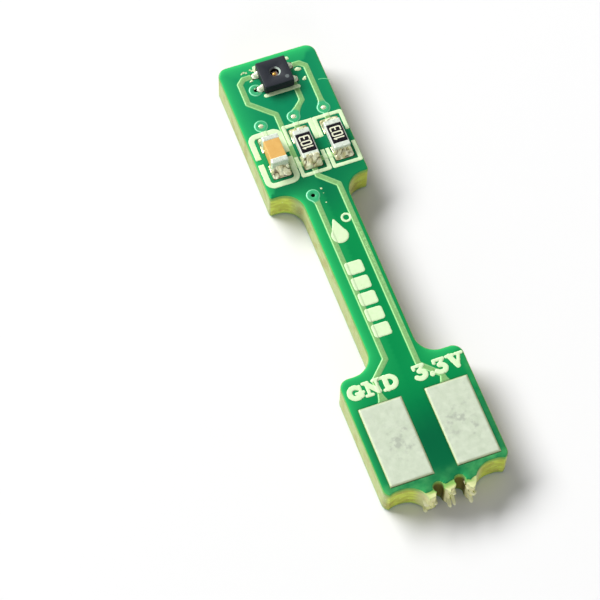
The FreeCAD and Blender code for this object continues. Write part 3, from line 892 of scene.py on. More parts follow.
def speckle_group() -> bpy.types.NodeTree:
    """Scattered spots: 1 in a spot and 0 outside, with spots of uneven size.

    Returns:
        The group.
    """
    made = GroupTree("speckle", Cover=0.15)
    cells = made.pattern("ShaderNodeTexVoronoi")
    chance = made.bench.add("ShaderNodeSeparateColor", {0: cells["Color"]}).outputs[0]
    reach = made.bench.product(chance, made.given["Cover"])
    return made.close(made.bench.span(made.bench.math("SUBTRACT", cells["Distance"], reach),
                                      0.08, 0.0))


def relief_group() -> bpy.types.NodeTree:
    """Fine unevenness of a surface, as a normal.

    Returns:
        The group.
    """
    made = GroupTree("relief", "Vector", Depth=0.002, Detail=3.0)
    cloud = made.pattern("ShaderNodeTexNoise", Detail=made.given["Detail"])[0]
    height = made.bench.product(cloud, made.given["Depth"], MM)
    return made.close(made.bench.add("ShaderNodeBump", {"Height": height, "Distance": 1.0,
                                                        "Strength": 1.0}).outputs[0])


GROUPS = {"mottle": mottle_group(), "speckle": speckle_group(), "relief": relief_group()}


@dataclass(frozen=True)
class Finish:
    """Surface of one kind of piece: two shades, spots, gloss and unevenness."""

    name: str
    slot: str
    shade: Colour
    second: Colour
    pitch: float = 0.4
    contrast: float = 1.6
    gloss: tuple[float, float] = (0.4, 0.5)
    metallic: float = 0.0
    specular: float = 0.5
    relief_pitch: float = 0.08
    relief_depth: float = 0.002
    spot: Optional[Colour] = None
    spot_pitch: float = 0.2
    spot_cover: float = 0.2
    spot_strength: float = 0.8
    # Painted light: colour of surfaces that lean to the left, towards the lamp
    lit: Optional[Colour] = None
    lit_lean: tuple[float, float] = (-0.45, -0.95)
    lit_strength: float = 0.85

    def ground(self, bench: NodeBench) -> Socket:
        """Blend of the two shades in soft patches."""
        cloud = bench.group("mottle", Pitch=self.pitch, Contrast=self.contrast)
        return bench.mix(cloud, self.shade, self.second)

    def base(self, bench: NodeBench) -> Socket:
        """Colour that changes over the surface.

        Args:
            bench: Bench on the material's tree.

        Returns:
            The socket that gives the colour.
        """
        colour = self.ground(bench)
        if self.spot is not None:
            spots = bench.group("speckle", Pitch=self.spot_pitch, Cover=self.spot_cover)
            colour = bench.mix(bench.product(spots, self.spot_strength), colour, self.spot)
        return self.lit_up(bench, colour)

    def lit_up(self, bench: NodeBench, colour: Socket) -> Socket:
        """Bring in the painted light, a paler colour on surfaces that lean to the left towards the
        lamp, where there is one.

        Args:
            bench: Bench on the material's tree.
            colour: Colour of the other walls.

        Returns:
            The socket that gives both.
        """
        if self.lit is None:
            return colour
        share = bench.span(bench.facing()[0], *self.lit_lean, 0.0, self.lit_strength)
        return bench.mix(share, colour, self.lit)

    def build(self) -> Material:
        """Make the material.

        Returns:
            The node material.
        """
        material = bpy.data.materials.new(self.name)
        material.use_nodes = True
        bench = NodeBench(material.node_tree)
        cloud = bench.group("mottle", Pitch=self.pitch * 0.6, Contrast=1.5, Shift=3.1 * MM)
        shader = bench.add("ShaderNodeBsdfPrincipled", {
            "Base Color": self.base(bench), "Metallic": self.metallic,
            "Roughness": bench.span(cloud, 0.0, 1.0, *self.gloss, smooth=False),
            "Specular IOR Level": self.specular,
            "Normal": bench.group("relief", Pitch=self.relief_pitch, Depth=self.relief_depth)})
        bench.add("ShaderNodeOutputMaterial", {"Surface": shader.outputs[0]})
        material.diffuse_color = linear(self.shade)
        return material


@dataclass(frozen=True)
class MaskFinish(Finish):
    """Green mask: paler over copper, with painted light towards the board's lit sides and painted
    highlights on ridge flanks.
    """

    foil: Colour = (112, 160, 98)
    foil_streak: Colour = (146, 200, 128)
    # Painted highlight on the flanks of the ridges over tracks
    flank: Colour = (166, 228, 150)
    via: Colour = (62, 172, 116)
    # Painted highlight on the flanks of the ridges round via rings
    via_flank: Colour = (150, 240, 190)
    # Colour of the painted light along the board's edges
    glow: Colour = (48, 192, 108)
    scuff: Colour = (90, 186, 108)
    scuff_strength: float = 0.7

    # Where along the board the green turns to another one, from the head down
    zones: tuple[tuple[float, float, Colour], ...] = (
        (8.6, 5.6, (2, 110, 68)), (4.6, 2.0, (0, 134, 71)), (-6.0, -9.5, (0, 96, 58)))

    def base(self, bench: NodeBench) -> Socket:
        """Green that follows what lies under the mask, with painted light along the board's edges.

        Args:
            bench: Bench on the material's tree.

        Returns:
            The socket that gives the colour.
        """
        along = bench.parts(bench.place())[1]
        colour = bench.laid(self.ground(bench), *(
            (bench.span(along, start * MM, end * MM), tone) for start, end, tone in self.zones))
        patches = bench.group("mottle", Pitch=0.5, Contrast=2.2, Shift=0.7 * MM)
        scuffed = bench.product(bench.mark("scuff"), patches, self.scuff_strength)
        # Painted light along the board's edges, then scuffs
        colour = bench.laid(colour, (bench.mark("glow"), self.glow), (scuffed, self.scuff))
        return self.over_foil(bench, colour)

    def over_foil(self, bench: NodeBench, colour: Socket) -> Socket:
        """Lay the colours of tracks and via rings over the green, with a painted highlight on the
        flanks that lean towards the lamp.

        Args:
            bench: Bench on the material's tree.
            colour: The green.

        Returns:
            The socket that gives the whole colour.
        """
        lift, near_via = bench.mark("over_copper"), bench.mark("via")
        streak = bench.group("mottle", Pitch=0.12, Contrast=1.2)
        core = bench.mix(near_via, bench.mix(streak, self.foil, self.foil_streak), self.via)
        # Painted highlight on the ridge flanks, strongest where they lean to the left, towards the
        # lamp
        towards = bench.span(bench.facing()[0], 0.06, -0.16, 0.6, 1.0)
        highlight_weight = bench.product(lift, bench.math("SUBTRACT", 1.0, lift), 4.0, towards)
        pale = bench.mix(near_via, self.flank, self.via_flank)
        return bench.laid(colour, (bench.span(lift, 0.2, 0.85), core), (highlight_weight, pale))


@dataclass(frozen=True)
class LaminateFinish(Finish):
    """Glass cloth laminate: plies on its walls, painted green light below the mask, torn ends pale,
    painted light and shade by the way a wall faces, painted shade in the bites.
    """

    top: float = 1.64
    bottom: float = 0.08
    plies: int = 8
    tinge: Colour = (96, 170, 84)
    torn: Colour = (244, 240, 186)
    burnt: Colour = (122, 100, 30)
    aged: Colour = (152, 136, 66)
    # Painted light on walls that face right, into the shade, and painted shade on walls that face
    # +Y, towards the lamp
    turned: Colour = (214, 210, 142)
    away: Colour = (160, 166, 112)
    # Painted shade in the drilled bites, fading out near the top of the wall
    bored: Colour = (92, 84, 16)
    fleck: Colour = (236, 236, 196)

    def base(self, bench: NodeBench) -> Socket:
        """Colour by height in the wall, by the state of the edge and by the way the wall faces,
        with painted light and shade.

        Args:
            bench: Bench on the material's tree.

        Returns:
            The socket that gives the colour.
        """
        place, facing = bench.place(), bench.facing()
        height, fray = bench.parts(place)[2], bench.mark("torn")
        stretched = bench.add("ShaderNodeMapping", {"Vector": place, "Scale": (0.25, 0.25, 1.0)})
        layers = bench.add("ShaderNodeTexNoise", {
            "Vector": stretched.outputs[0], "Detail": 2.0,
            "Scale": self.plies / ((self.top - self.bottom) * MM)})
        lines = bench.span(layers.outputs[0], 0.42, 0.62, 0.0, 0.26)
        # Plies, then painted light on walls that lean to the left
        colour = self.lit_up(bench, bench.mix(lines, self.ground(bench), self.burnt))
        broad = bench.group("mottle", Pitch=0.8, Contrast=3.0, Shift=4.1 * MM)
        spots = bench.group("speckle", Pitch=0.14, Cover=0.22)
        near_top = bench.span(height, (self.top - 0.30) * MM, self.top * MM, 0.0, 0.8)
        near_bottom = bench.span(height, (self.bottom + 0.2) * MM, self.bottom * MM, 0.0, 0.6)
        tinged = bench.product(bench.math("MAXIMUM", near_top, near_bottom),
                               bench.span(fray, 0.0, 1.0, 1.0, 0.25))
        # Painted light on right-facing walls, painted shade on walls facing +Y, stains, flecks,
        # torn ends, painted shade in the bites and painted green light near the mask
        return bench.laid(
            colour, (bench.span(facing[0], 0.25, 0.75, 0.0, 0.75), self.turned),
            (bench.span(facing[1], 0.25, 0.75, 0.0, 0.8), self.away),
            (bench.span(broad, 0.45, 0.95, 0.0, 0.5), self.aged),
            (bench.product(spots, 0.35), self.fleck), (bench.product(fray, 0.85), self.torn),
            (bench.product(bench.mark("bore"), 0.9), self.bored), (tinged, self.tinge))


@dataclass(frozen=True)
class TinFinish(Finish):
    """Tin with a cream rim and grey rubbed patches about the pad's middle."""

    rim: Colour = (168, 180, 138)
    rubbed: Colour = (168, 176, 160)

    def base(self, bench: NodeBench) -> Socket:
        """Mottled tin, creamier towards its rim.

        Args:
            bench: Bench on the material's tree.

        Returns:
            The socket that gives the colour.
        """
        streaks = bench.group("mottle", Pitch=0.60, Contrast=3.6, Shift=1.3 * MM)
        fine = bench.group("mottle", Pitch=0.22, Contrast=2.6, Shift=2.3 * MM)
        rubbing = bench.product(streaks, fine, bench.mark("wear"))
        return bench.laid(super().base(bench),
                          (bench.span(rubbing, 0.05, 0.6, 0.0, 0.8), self.rubbed),
                          (bench.mark("rim"), self.rim))


@dataclass(frozen=True)
class FluxFinish(Finish):
    """Solder with burnt flux in its creases."""

    burnt: Colour = (70, 56, 30)

    def base(self, bench: NodeBench) -> Socket:
        """Mottled solder, dark in patches of its creases.

        Args:
            bench: Bench on the material's tree.

        Returns:
            The socket that gives the colour.
        """
        patches = bench.group("mottle", Pitch=0.32, Contrast=4.0, Shift=2.7 * MM)
        weight = bench.product(bench.mark("crease"), bench.span(patches, 0.25, 0.75, 0.2, 0.95))
        return bench.mix(weight, super().base(bench), self.burnt)


FINISHES = {
    "laminate": LaminateFinish("laminate_glass_cloth", "laminate", (214, 234, 101),
                               (196, 204, 79), pitch=0.5, gloss=(0.45, 0.7), specular=0.3,
                               lit=(168, 180, 130),
                               relief_pitch=0.05, relief_depth=0.006),
    "mask": MaskFinish("mask_green", "solder_mask", (9, 133, 89), (5, 125, 82), pitch=2.4,
                       gloss=(0.16, 0.26), specular=0.15, relief_pitch=0.6,
                       relief_depth=0.004),
    "ink": Finish("legend_white", "legend_ink", (222, 244, 200), (208, 234, 184), pitch=0.18,
                  gloss=(0.5, 0.65), specular=0.3, relief_pitch=0.06, relief_depth=0.003,
                  spot=(170, 212, 148), spot_pitch=0.16, spot_cover=0.08),
    "copper": Finish("foil_copper", "copper", (84, 86, 48), (66, 66, 36), metallic=0.4,
                     gloss=(0.35, 0.5)),
    "tin": TinFinish("pad_tin", "tin", (208, 218, 196), (194, 206, 182), pitch=0.35,
                     contrast=2.6, gloss=(0.42, 0.6), metallic=0.2, relief_pitch=0.22,
                     relief_depth=0.006, spot=(192, 202, 184), spot_pitch=0.5,
                     spot_cover=0.16, spot_strength=0.3),
    "solder": FluxFinish("joint_solder", "solder", (246, 248, 214), (190, 184, 130),
                         pitch=0.30, contrast=3.6, gloss=(0.10, 0.30), metallic=0.3,
                         relief_pitch=0.30, relief_depth=0.016, spot=(96, 84, 50),
                         spot_pitch=0.34, spot_cover=0.20, spot_strength=0.5),
    "blob": Finish("terminal_solder", "solder", (244, 248, 230), (228, 232, 196), pitch=0.2,
                   gloss=(0.12, 0.3), metallic=0.15, relief_pitch=0.2, relief_depth=0.004),
    # Port lip: dark moulding with a painted highlight where it leans to the left, towards the lamp
    "lip": Finish("sensor_port_lip", "sensor_mould", (40, 44, 50), (58, 62, 68), pitch=0.1,
                  gloss=(0.25, 0.4), lit=(196, 214, 200), lit_lean=(-0.10, -0.42)),
    "mould": Finish("sensor_moulding", "sensor_mould", (20, 27, 38), (15, 20, 29), pitch=0.12,
                    gloss=(0.42, 0.6), specular=0.35, relief_pitch=0.02, relief_depth=0.0015,
                    spot=(70, 76, 84), spot_pitch=0.035, spot_cover=0.12, spot_strength=0.3),
    # Black lining of the port: painted shade
    "port_shade": Finish("sensor_port_wall", "sensor_mould", (6, 6, 8), (4, 4, 5), gloss=(0.5, 0.7),
                   specular=0.1),
    "film": Finish("sensor_film", "sensor_gold", (150, 118, 104), (196, 176, 164), pitch=0.07,
                   gloss=(0.15, 0.3), metallic=0.3),
    "gold": Finish("sensor_gold_bead", "sensor_gold", (236, 158, 48), (255, 214, 120),
                   pitch=0.05, metallic=0.7, gloss=(0.12, 0.25)),
    "lead": Finish("terminal_metal", "lead_metal", (206, 204, 190), (176, 170, 150), pitch=0.1,
                   metallic=0.9, gloss=(0.25, 0.4)),
    "tan": Finish("capacitor_body", "capacitor_ceramic", (226, 180, 98), (216, 164, 80),
                  pitch=0.3, gloss=(0.38, 0.5), relief_pitch=0.03, relief_depth=0.001,
                  spot=(236, 200, 124), spot_pitch=0.09, spot_cover=0.14, spot_strength=0.6),
    "end": Finish("end_plating", "end_metal", (238, 246, 232), (212, 224, 206), pitch=0.1,
                  contrast=2.6, metallic=0.35, gloss=(0.22, 0.42), relief_pitch=0.07,
                  relief_depth=0.006, spot=(146, 150, 120), spot_pitch=0.13, spot_cover=0.2,
                  spot_strength=0.55),
    "alumina": Finish("resistor_alumina", "alumina", (232, 234, 226), (214, 218, 208),
                      pitch=0.15, gloss=(0.5, 0.62)),
    "black": Finish("resistor_coat", "overcoat", (20, 14, 24), (12, 8, 16), pitch=0.2,
                    gloss=(0.2, 0.32), specular=0.3, relief_pitch=0.1, relief_depth=0.002),
    "cream": Finish("resistor_digits", "legend_ink", (234, 236, 210), (222, 222, 190),
                    pitch=0.1, gloss=(0.45, 0.6)),
    "mark": Finish("sensor_laser_mark", "sensor_mould", (104, 112, 112), (80, 88, 90),
                   pitch=0.05, gloss=(0.55, 0.7)),
    "residue": Finish("flux_residue", "solder", (232, 246, 206), (196, 220, 156), pitch=0.06,
                      gloss=(0.2, 0.4), metallic=0.1),
    "prong": Finish("glass_prong", "laminate", (246, 248, 204), (224, 222, 172), pitch=0.12,
                    gloss=(0.35, 0.55), relief_pitch=0.03, relief_depth=0.004),
    "scratch": Finish("mask_scratch", "solder_mask", (120, 214, 150), (90, 196, 128),
                      pitch=0.2, gloss=(0.4, 0.6)),
}
MATERIALS = {key: finish.build() for key, finish in FINISHES.items()}


# Geometry node trees

class GeometryTree:
    """A geometry node tree in the making, with named inputs."""

    def __init__(self, name: str, **inputs: Sequence[str]) -> None:
        """Start the tree.

        Args:
            name: Name of the tree.
            inputs: Labels of its inputs by their type, beside the geometry and the material.
        """
        self.tree = bpy.data.node_groups.new(name, "GeometryNodeTree")
        self.sockets = {}
        for kind, labels in {"Geometry": ["Geometry"], **inputs, "Material": ["Material"]}.items():
            for label in labels:
                socket = self.tree.interface.new_socket(label, in_out="INPUT",
                                                        socket_type="NodeSocket" + kind)
                self.sockets[label] = socket.identifier
        self.tree.interface.new_socket("Geometry", in_out="OUTPUT",
                                       socket_type="NodeSocketGeometry")
        self.bench = NodeBench(self.tree)
        self.given = self.bench.add("NodeGroupInput").outputs

    def chance(self, low: object, high: object, **inputs: object) -> Socket:
        """Random number or vector between two others.

        Args:
            low: The lowest number or vector.
            high: The highest one.
            inputs: Other inputs of the node.

        Returns:
            The socket that gives it.
        """
        kind, first = ("FLOAT_VECTOR", 0) if isinstance(low, tuple) else ("FLOAT", 2)
        node = self.bench.add("FunctionNodeRandomValue", {first: low, first + 1: high, **inputs},
                              data_type=kind)
        return node.outputs[first // 2]

    def strew(self, shape: Socket, size: Sequence[Socket], lean: Socket) -> "GeometryTree":
        """Set copies of a shape over the faces and end the tree.

        Args:
            shape: Geometry of one copy.
            size: Its scale along each axis.
            lean: Its turn about each axis.

        Returns:
            The tree.
        """
        spots = self.bench.add("GeometryNodeDistributePointsOnFaces", {
            "Mesh": self.given["Geometry"], "Density": self.given["Density"],
            "Seed": self.given["Seed"]})
        scale = self.bench.add("ShaderNodeCombineXYZ", dict(enumerate(size)))
        turned = self.bench.add("FunctionNodeEulerToRotation", {0: lean})
        return self.close(self.bench.add("GeometryNodeInstanceOnPoints", {
            "Points": spots.outputs["Points"], "Instance": shape,
            "Rotation": turned.outputs[0], "Scale": scale.outputs[0]}).outputs[0])

    def close(self, geometry: Socket) -> "GeometryTree":
        """End the tree in real meshes that carry the material input.

        Args:
            geometry: What the tree has made.

        Returns:
            The tree.
        """
        real = self.bench.add("GeometryNodeRealizeInstances", {0: geometry})
        dressed = self.bench.add("GeometryNodeSetMaterial", {"Geometry": real.outputs[0],
                                                             "Material": self.given["Material"]})
        self.bench.add("NodeGroupOutput", {0: dressed.outputs[0]})
        return self

    def dress(self, draft: Draft, name: str, finish: str, values: dict[str, object],
              nodes: Sequence[str] = ()) -> None:
        """Run the tree on a draft and keep the result as a piece of the board.

        Args:
            draft: Mesh that gets the tree.
            name: Name of the piece.
            finish: Key of its finish.
            values: Value of each other input, by label.
            nodes: Solid nodes that the piece stands for.
        """
        piece = draft.finish(name)
        modifier = piece.modifiers.new(self.tree.name, "NODES")
        modifier.node_group = self.tree
        for label, value in {**values, "Material": MATERIALS[finish]}.items():
            modifier[self.sockets[label]] = value
        bpy.context.view_layer.update()
        shaped = piece.evaluated_get(bpy.context.evaluated_depsgraph_get())
        mesh = bpy.data.meshes.new_from_object(shaped)
        piece.modifiers.remove(modifier)
        mesh.name = name
        piece.data = mesh
        settle(smoothed(piece, SHARP), nodes)


def drape_tree() -> GeometryTree:
    """Tree that lifts a sheet where it passes over the copper foil.

    Returns:
        The tree.
    """
    made = GeometryTree("drape_over_foil", Object=["Foil", "Foil Edge"],
                        Float=["Ridge Height", "Inner Reach", "Outer Reach", "Direction"])
    bench, given = made.bench, made.given
    place = bench.parts(bench.add("GeometryNodeInputPosition").outputs[0])
    plan = bench.add("ShaderNodeCombineXYZ", {0: place[0], 1: place[1]}).outputs[0]
    distance = []
    for label, element in (("Foil", "FACES"), ("Foil Edge", "EDGES")):
        target = bench.add("GeometryNodeObjectInfo", {"Object": given[label]})
        nearest = bench.add("GeometryNodeProximity", {0: target.outputs["Geometry"], 2: plan},
                            target_element=element)
        distance.append(nearest.outputs["Distance"])
    over = bench.math("LESS_THAN", distance[0], 1e-7)
    signed = bench.math("SUBTRACT", distance[0], bench.product(over, distance[1]))
    share = bench.span(signed, given["Outer Reach"], bench.product(given["Inner Reach"], -1.0))
    kept = bench.add("GeometryNodeStoreNamedAttribute", {"Geometry": given["Geometry"],
                                                         "Name": "over_copper", "Value": share},
                     data_type="FLOAT", domain="POINT")
    carry = bench.add("GeometryNodeInputNamedAttribute", {"Name": "carry"}, data_type="FLOAT")
    lift = bench.product(share, given["Ridge Height"], carry.outputs["Attribute"],
                         given["Direction"])
    offset = bench.add("ShaderNodeCombineXYZ", {2: lift})
    return made.close(bench.add("GeometryNodeSetPosition", {
        "Geometry": kept.outputs["Geometry"], "Offset": offset.outputs[0]}).outputs[0])


def scatter_tree() -> GeometryTree:
    """Tree that scatters flattened crumbs over a patch.

    Returns:
        The tree.
    """
    made = GeometryTree("scatter_crumbs", Float=["Density", "Smallest", "Largest", "Flatness"],
                        Int=["Seed"])
    bench, given = made.bench, made.given
    crumb = bench.add("GeometryNodeMeshIcoSphere", {"Radius": 1.0, "Subdivisions": 3})
    wander = bench.add("ShaderNodeTexNoise", {"Scale": 1.3, "Detail": 1.0})
    centred = bench.add("ShaderNodeVectorMath", {0: wander.outputs["Color"], 1: (0.5, 0.5, 0.5)},
                        operation="SUBTRACT")
    push = bench.add("ShaderNodeVectorMath", {0: centred.outputs[0], "Scale": 1.4},
                     operation="SCALE")
    bumpy = bench.add("GeometryNodeSetPosition", {"Geometry": crumb.outputs[0],
                                                  "Offset": push.outputs[0]})
    size = made.chance(given["Smallest"], given["Largest"], Seed=given["Seed"],
                       ID=bench.add("GeometryNodeInputIndex").outputs[0])
    lean = made.chance((0.0, 0.0, 0.0), (0.3, 0.3, 6.28))
    return made.strew(bumpy.outputs[0], (size, size, bench.product(size, given["Flatness"])), lean)


def splinter_tree() -> GeometryTree:
    """Tree that sets thin glass splinters on a torn end, pointing along -Y.

    Returns:
        The tree.
    """
    made = GeometryTree("set_splinters", Float=["Density", "Radius", "Shortest", "Longest"],
                        Int=["Seed"])
    given = made.given
    thorn = made.bench.add("GeometryNodeMeshCone", {
        "Vertices": 7, "Side Segments": 3, "Radius Top": 0.25, "Radius Bottom": 1.0,
        "Depth": 1.0})
    length = made.chance(given["Shortest"], given["Longest"], Seed=given["Seed"])
    lean = made.chance((1.25, 0.0, -0.35), (1.85, 0.0, 0.35), Seed=given["Seed"])
    return made.strew(thorn.outputs["Mesh"], (given["Radius"], given["Radius"], length), lean)


DRAPE = drape_tree()
SCATTER = scatter_tree()
SPLINTER = splinter_tree()


# Board

@dataclass
class BoardPlan:
    """Places on the board that several pieces share, read from the solid model."""

    pad_opening: float = 0.02
    land_opening: float = 0.004
    via_names: tuple[str, ...] = ("sensor_ground", "capacitor_ground", "data", "clock",
                                  "neck_ground")
    open_vias: tuple[str, ...] = ("sensor_ground", "neck_ground")
    via_ring: float = 0.60
    mask_hole: float = 0.20

    def __post_init__(self) -> None:
        """Read the levels and the places of vias and lands."""
        low, high = node_box("board_core")
        self.level = {Face.FRONT: float(high[2]), Face.BACK: float(low[2])}
        self.tail_end = float(node_box("tin_pad_ground")[0][1]) - 0.40
        self.vias = {name: node_centre("via_barrel_" + name)[:2] for name in self.via_names}
        low, high = node_box("via_barrel_data")
        self.drill = float(high[0] - low[0])

    def openings(self, face: Face) -> list[Box]:
        """Rectangles of a face that the mask leaves bare.

        Args:
            face: The face.

        Returns:
            The rectangles of its pads and lands.
        """
        lands = [name for name in sorted(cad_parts) if face is Face.FRONT
                 and "_solder_" in name and "via" not in name]
        boxes = []
        for names, gap in ((["tin_pad_" + net for net in PADS[face]], self.pad_opening),
                           (lands, self.land_opening)):
            for low, high in map(node_box, names):
                boxes.append((*(low[:2] - gap), *(high[:2] + gap)))
        return boxes


@dataclass
class FoilPlan:
    """Plan of the copper under one face's mask, for sheets that follow it."""

    board: BoardPlan
    face: Face
    ridge: float = 0.030
    inner_reach: float = 0.03
    outer_reach: float = 0.045

    def __post_init__(self) -> None:
        """Join the copper's faces with round via rings and take the bare lands out."""
        foils = []
        for name in sorted(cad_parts):
            if name.endswith("_copper_" + self.face.word):
                low, high = node_box(name)
                level = high[2] if self.face is Face.FRONT else low[2]
                triangles = flat_triangles(name, level, self.face.value)
                foils.append(loop_segments([refined(loop) for loop in rim_loops(triangles)]))
        for centre in self.board.vias.values():
            foils.append(loop_segments([circle(centre, self.board.via_ring / 2.0, 48)]))
        bare = [loop_segments([rectangle(box)]) for box in self.board.openings(self.face)]
        corners, triangles = triangulated(np.concatenate(foils + bare))
        middle = corners[triangles].mean(axis=1)
        covered = inside_any(middle, foils) & ~inside_any(middle, bare)
        kept = triangles[covered & ~slivers(corners[triangles])]
        rim = corners[np.array(sorted(border(triangles[covered])))]
        self.rim = rim[edge_distance(rim.mean(axis=1), np.concatenate(bare)) >= 0.002]
        ends = self.rim.reshape(-1, 2)
        pairs = np.arange(len(ends)).reshape(-1, 2)
        self.surface = self.helper("foil_plan", corners, [], kept.tolist())
        self.edges = self.helper("foil_rim", ends, pairs.tolist(), [])

    @staticmethod
    def helper(name: str, plan: Array, edges: list, faces: list) -> Piece:
        """Object that a tree measures distances to."""
        mesh = bpy.data.meshes.new(name)
        mesh.from_pydata((raised(plan, 0.0) * MM).tolist(), edges, faces)
        return linked_object(name, mesh)

    def drape(self, draft: Draft, name: str, finish: str, nodes: Sequence[str] = ()) -> None:
        """Lift a sheet over this copper and keep it as a piece of the board.

        Args:
            draft: The sheet.
            name: Name of the piece.
            finish: Key of its finish.
            nodes: Solid nodes that it stands for.
        """
        DRAPE.dress(draft, name, finish, {
            "Foil": self.surface, "Foil Edge": self.edges, "Ridge Height": self.ridge * MM,
            "Inner Reach": self.inner_reach * MM, "Outer Reach": self.outer_reach * MM,
            "Direction": float(self.face.value)}, nodes)

    def remove(self) -> None:
        """Take the measuring objects away."""
        for helper in (self.surface, self.edges):
            bpy.data.objects.remove(helper)


def sheet_draft(face: Face, loops: Sequence[Array], points: Array, level: float,
                top: Field, bottom: float, carry_bottom: float) -> Draft:
    """Thin sheet on a face, with walls at its outlines.

    Args:
        face: Face that the sheet lies on.
        loops: Outlines and holes of the sheet.
        points: Places inside it.
        level: Height of the bare laminate.
        top: Height of the sheet's outer skin above the laminate, by plan place.
        bottom: Height of its inner skin above the laminate.
        carry_bottom: Share of the foil's lift that the inner skin follows.

    Returns:
        The closed sheet as a draft.
    """
    corners, triangles = filled(loop_segments(loops), points)
    used, index = np.unique(triangles, return_inverse=True)
    corners = corners[used]
    draft = Draft()
    draft.shell(np.column_stack([corners, level + face.value * top(corners)]),
                raised(corners, level + face.value * bottom), index.reshape(-1, 3),
                face is Face.BACK, carry=np.repeat([1.0, carry_bottom], len(corners)))
    return draft


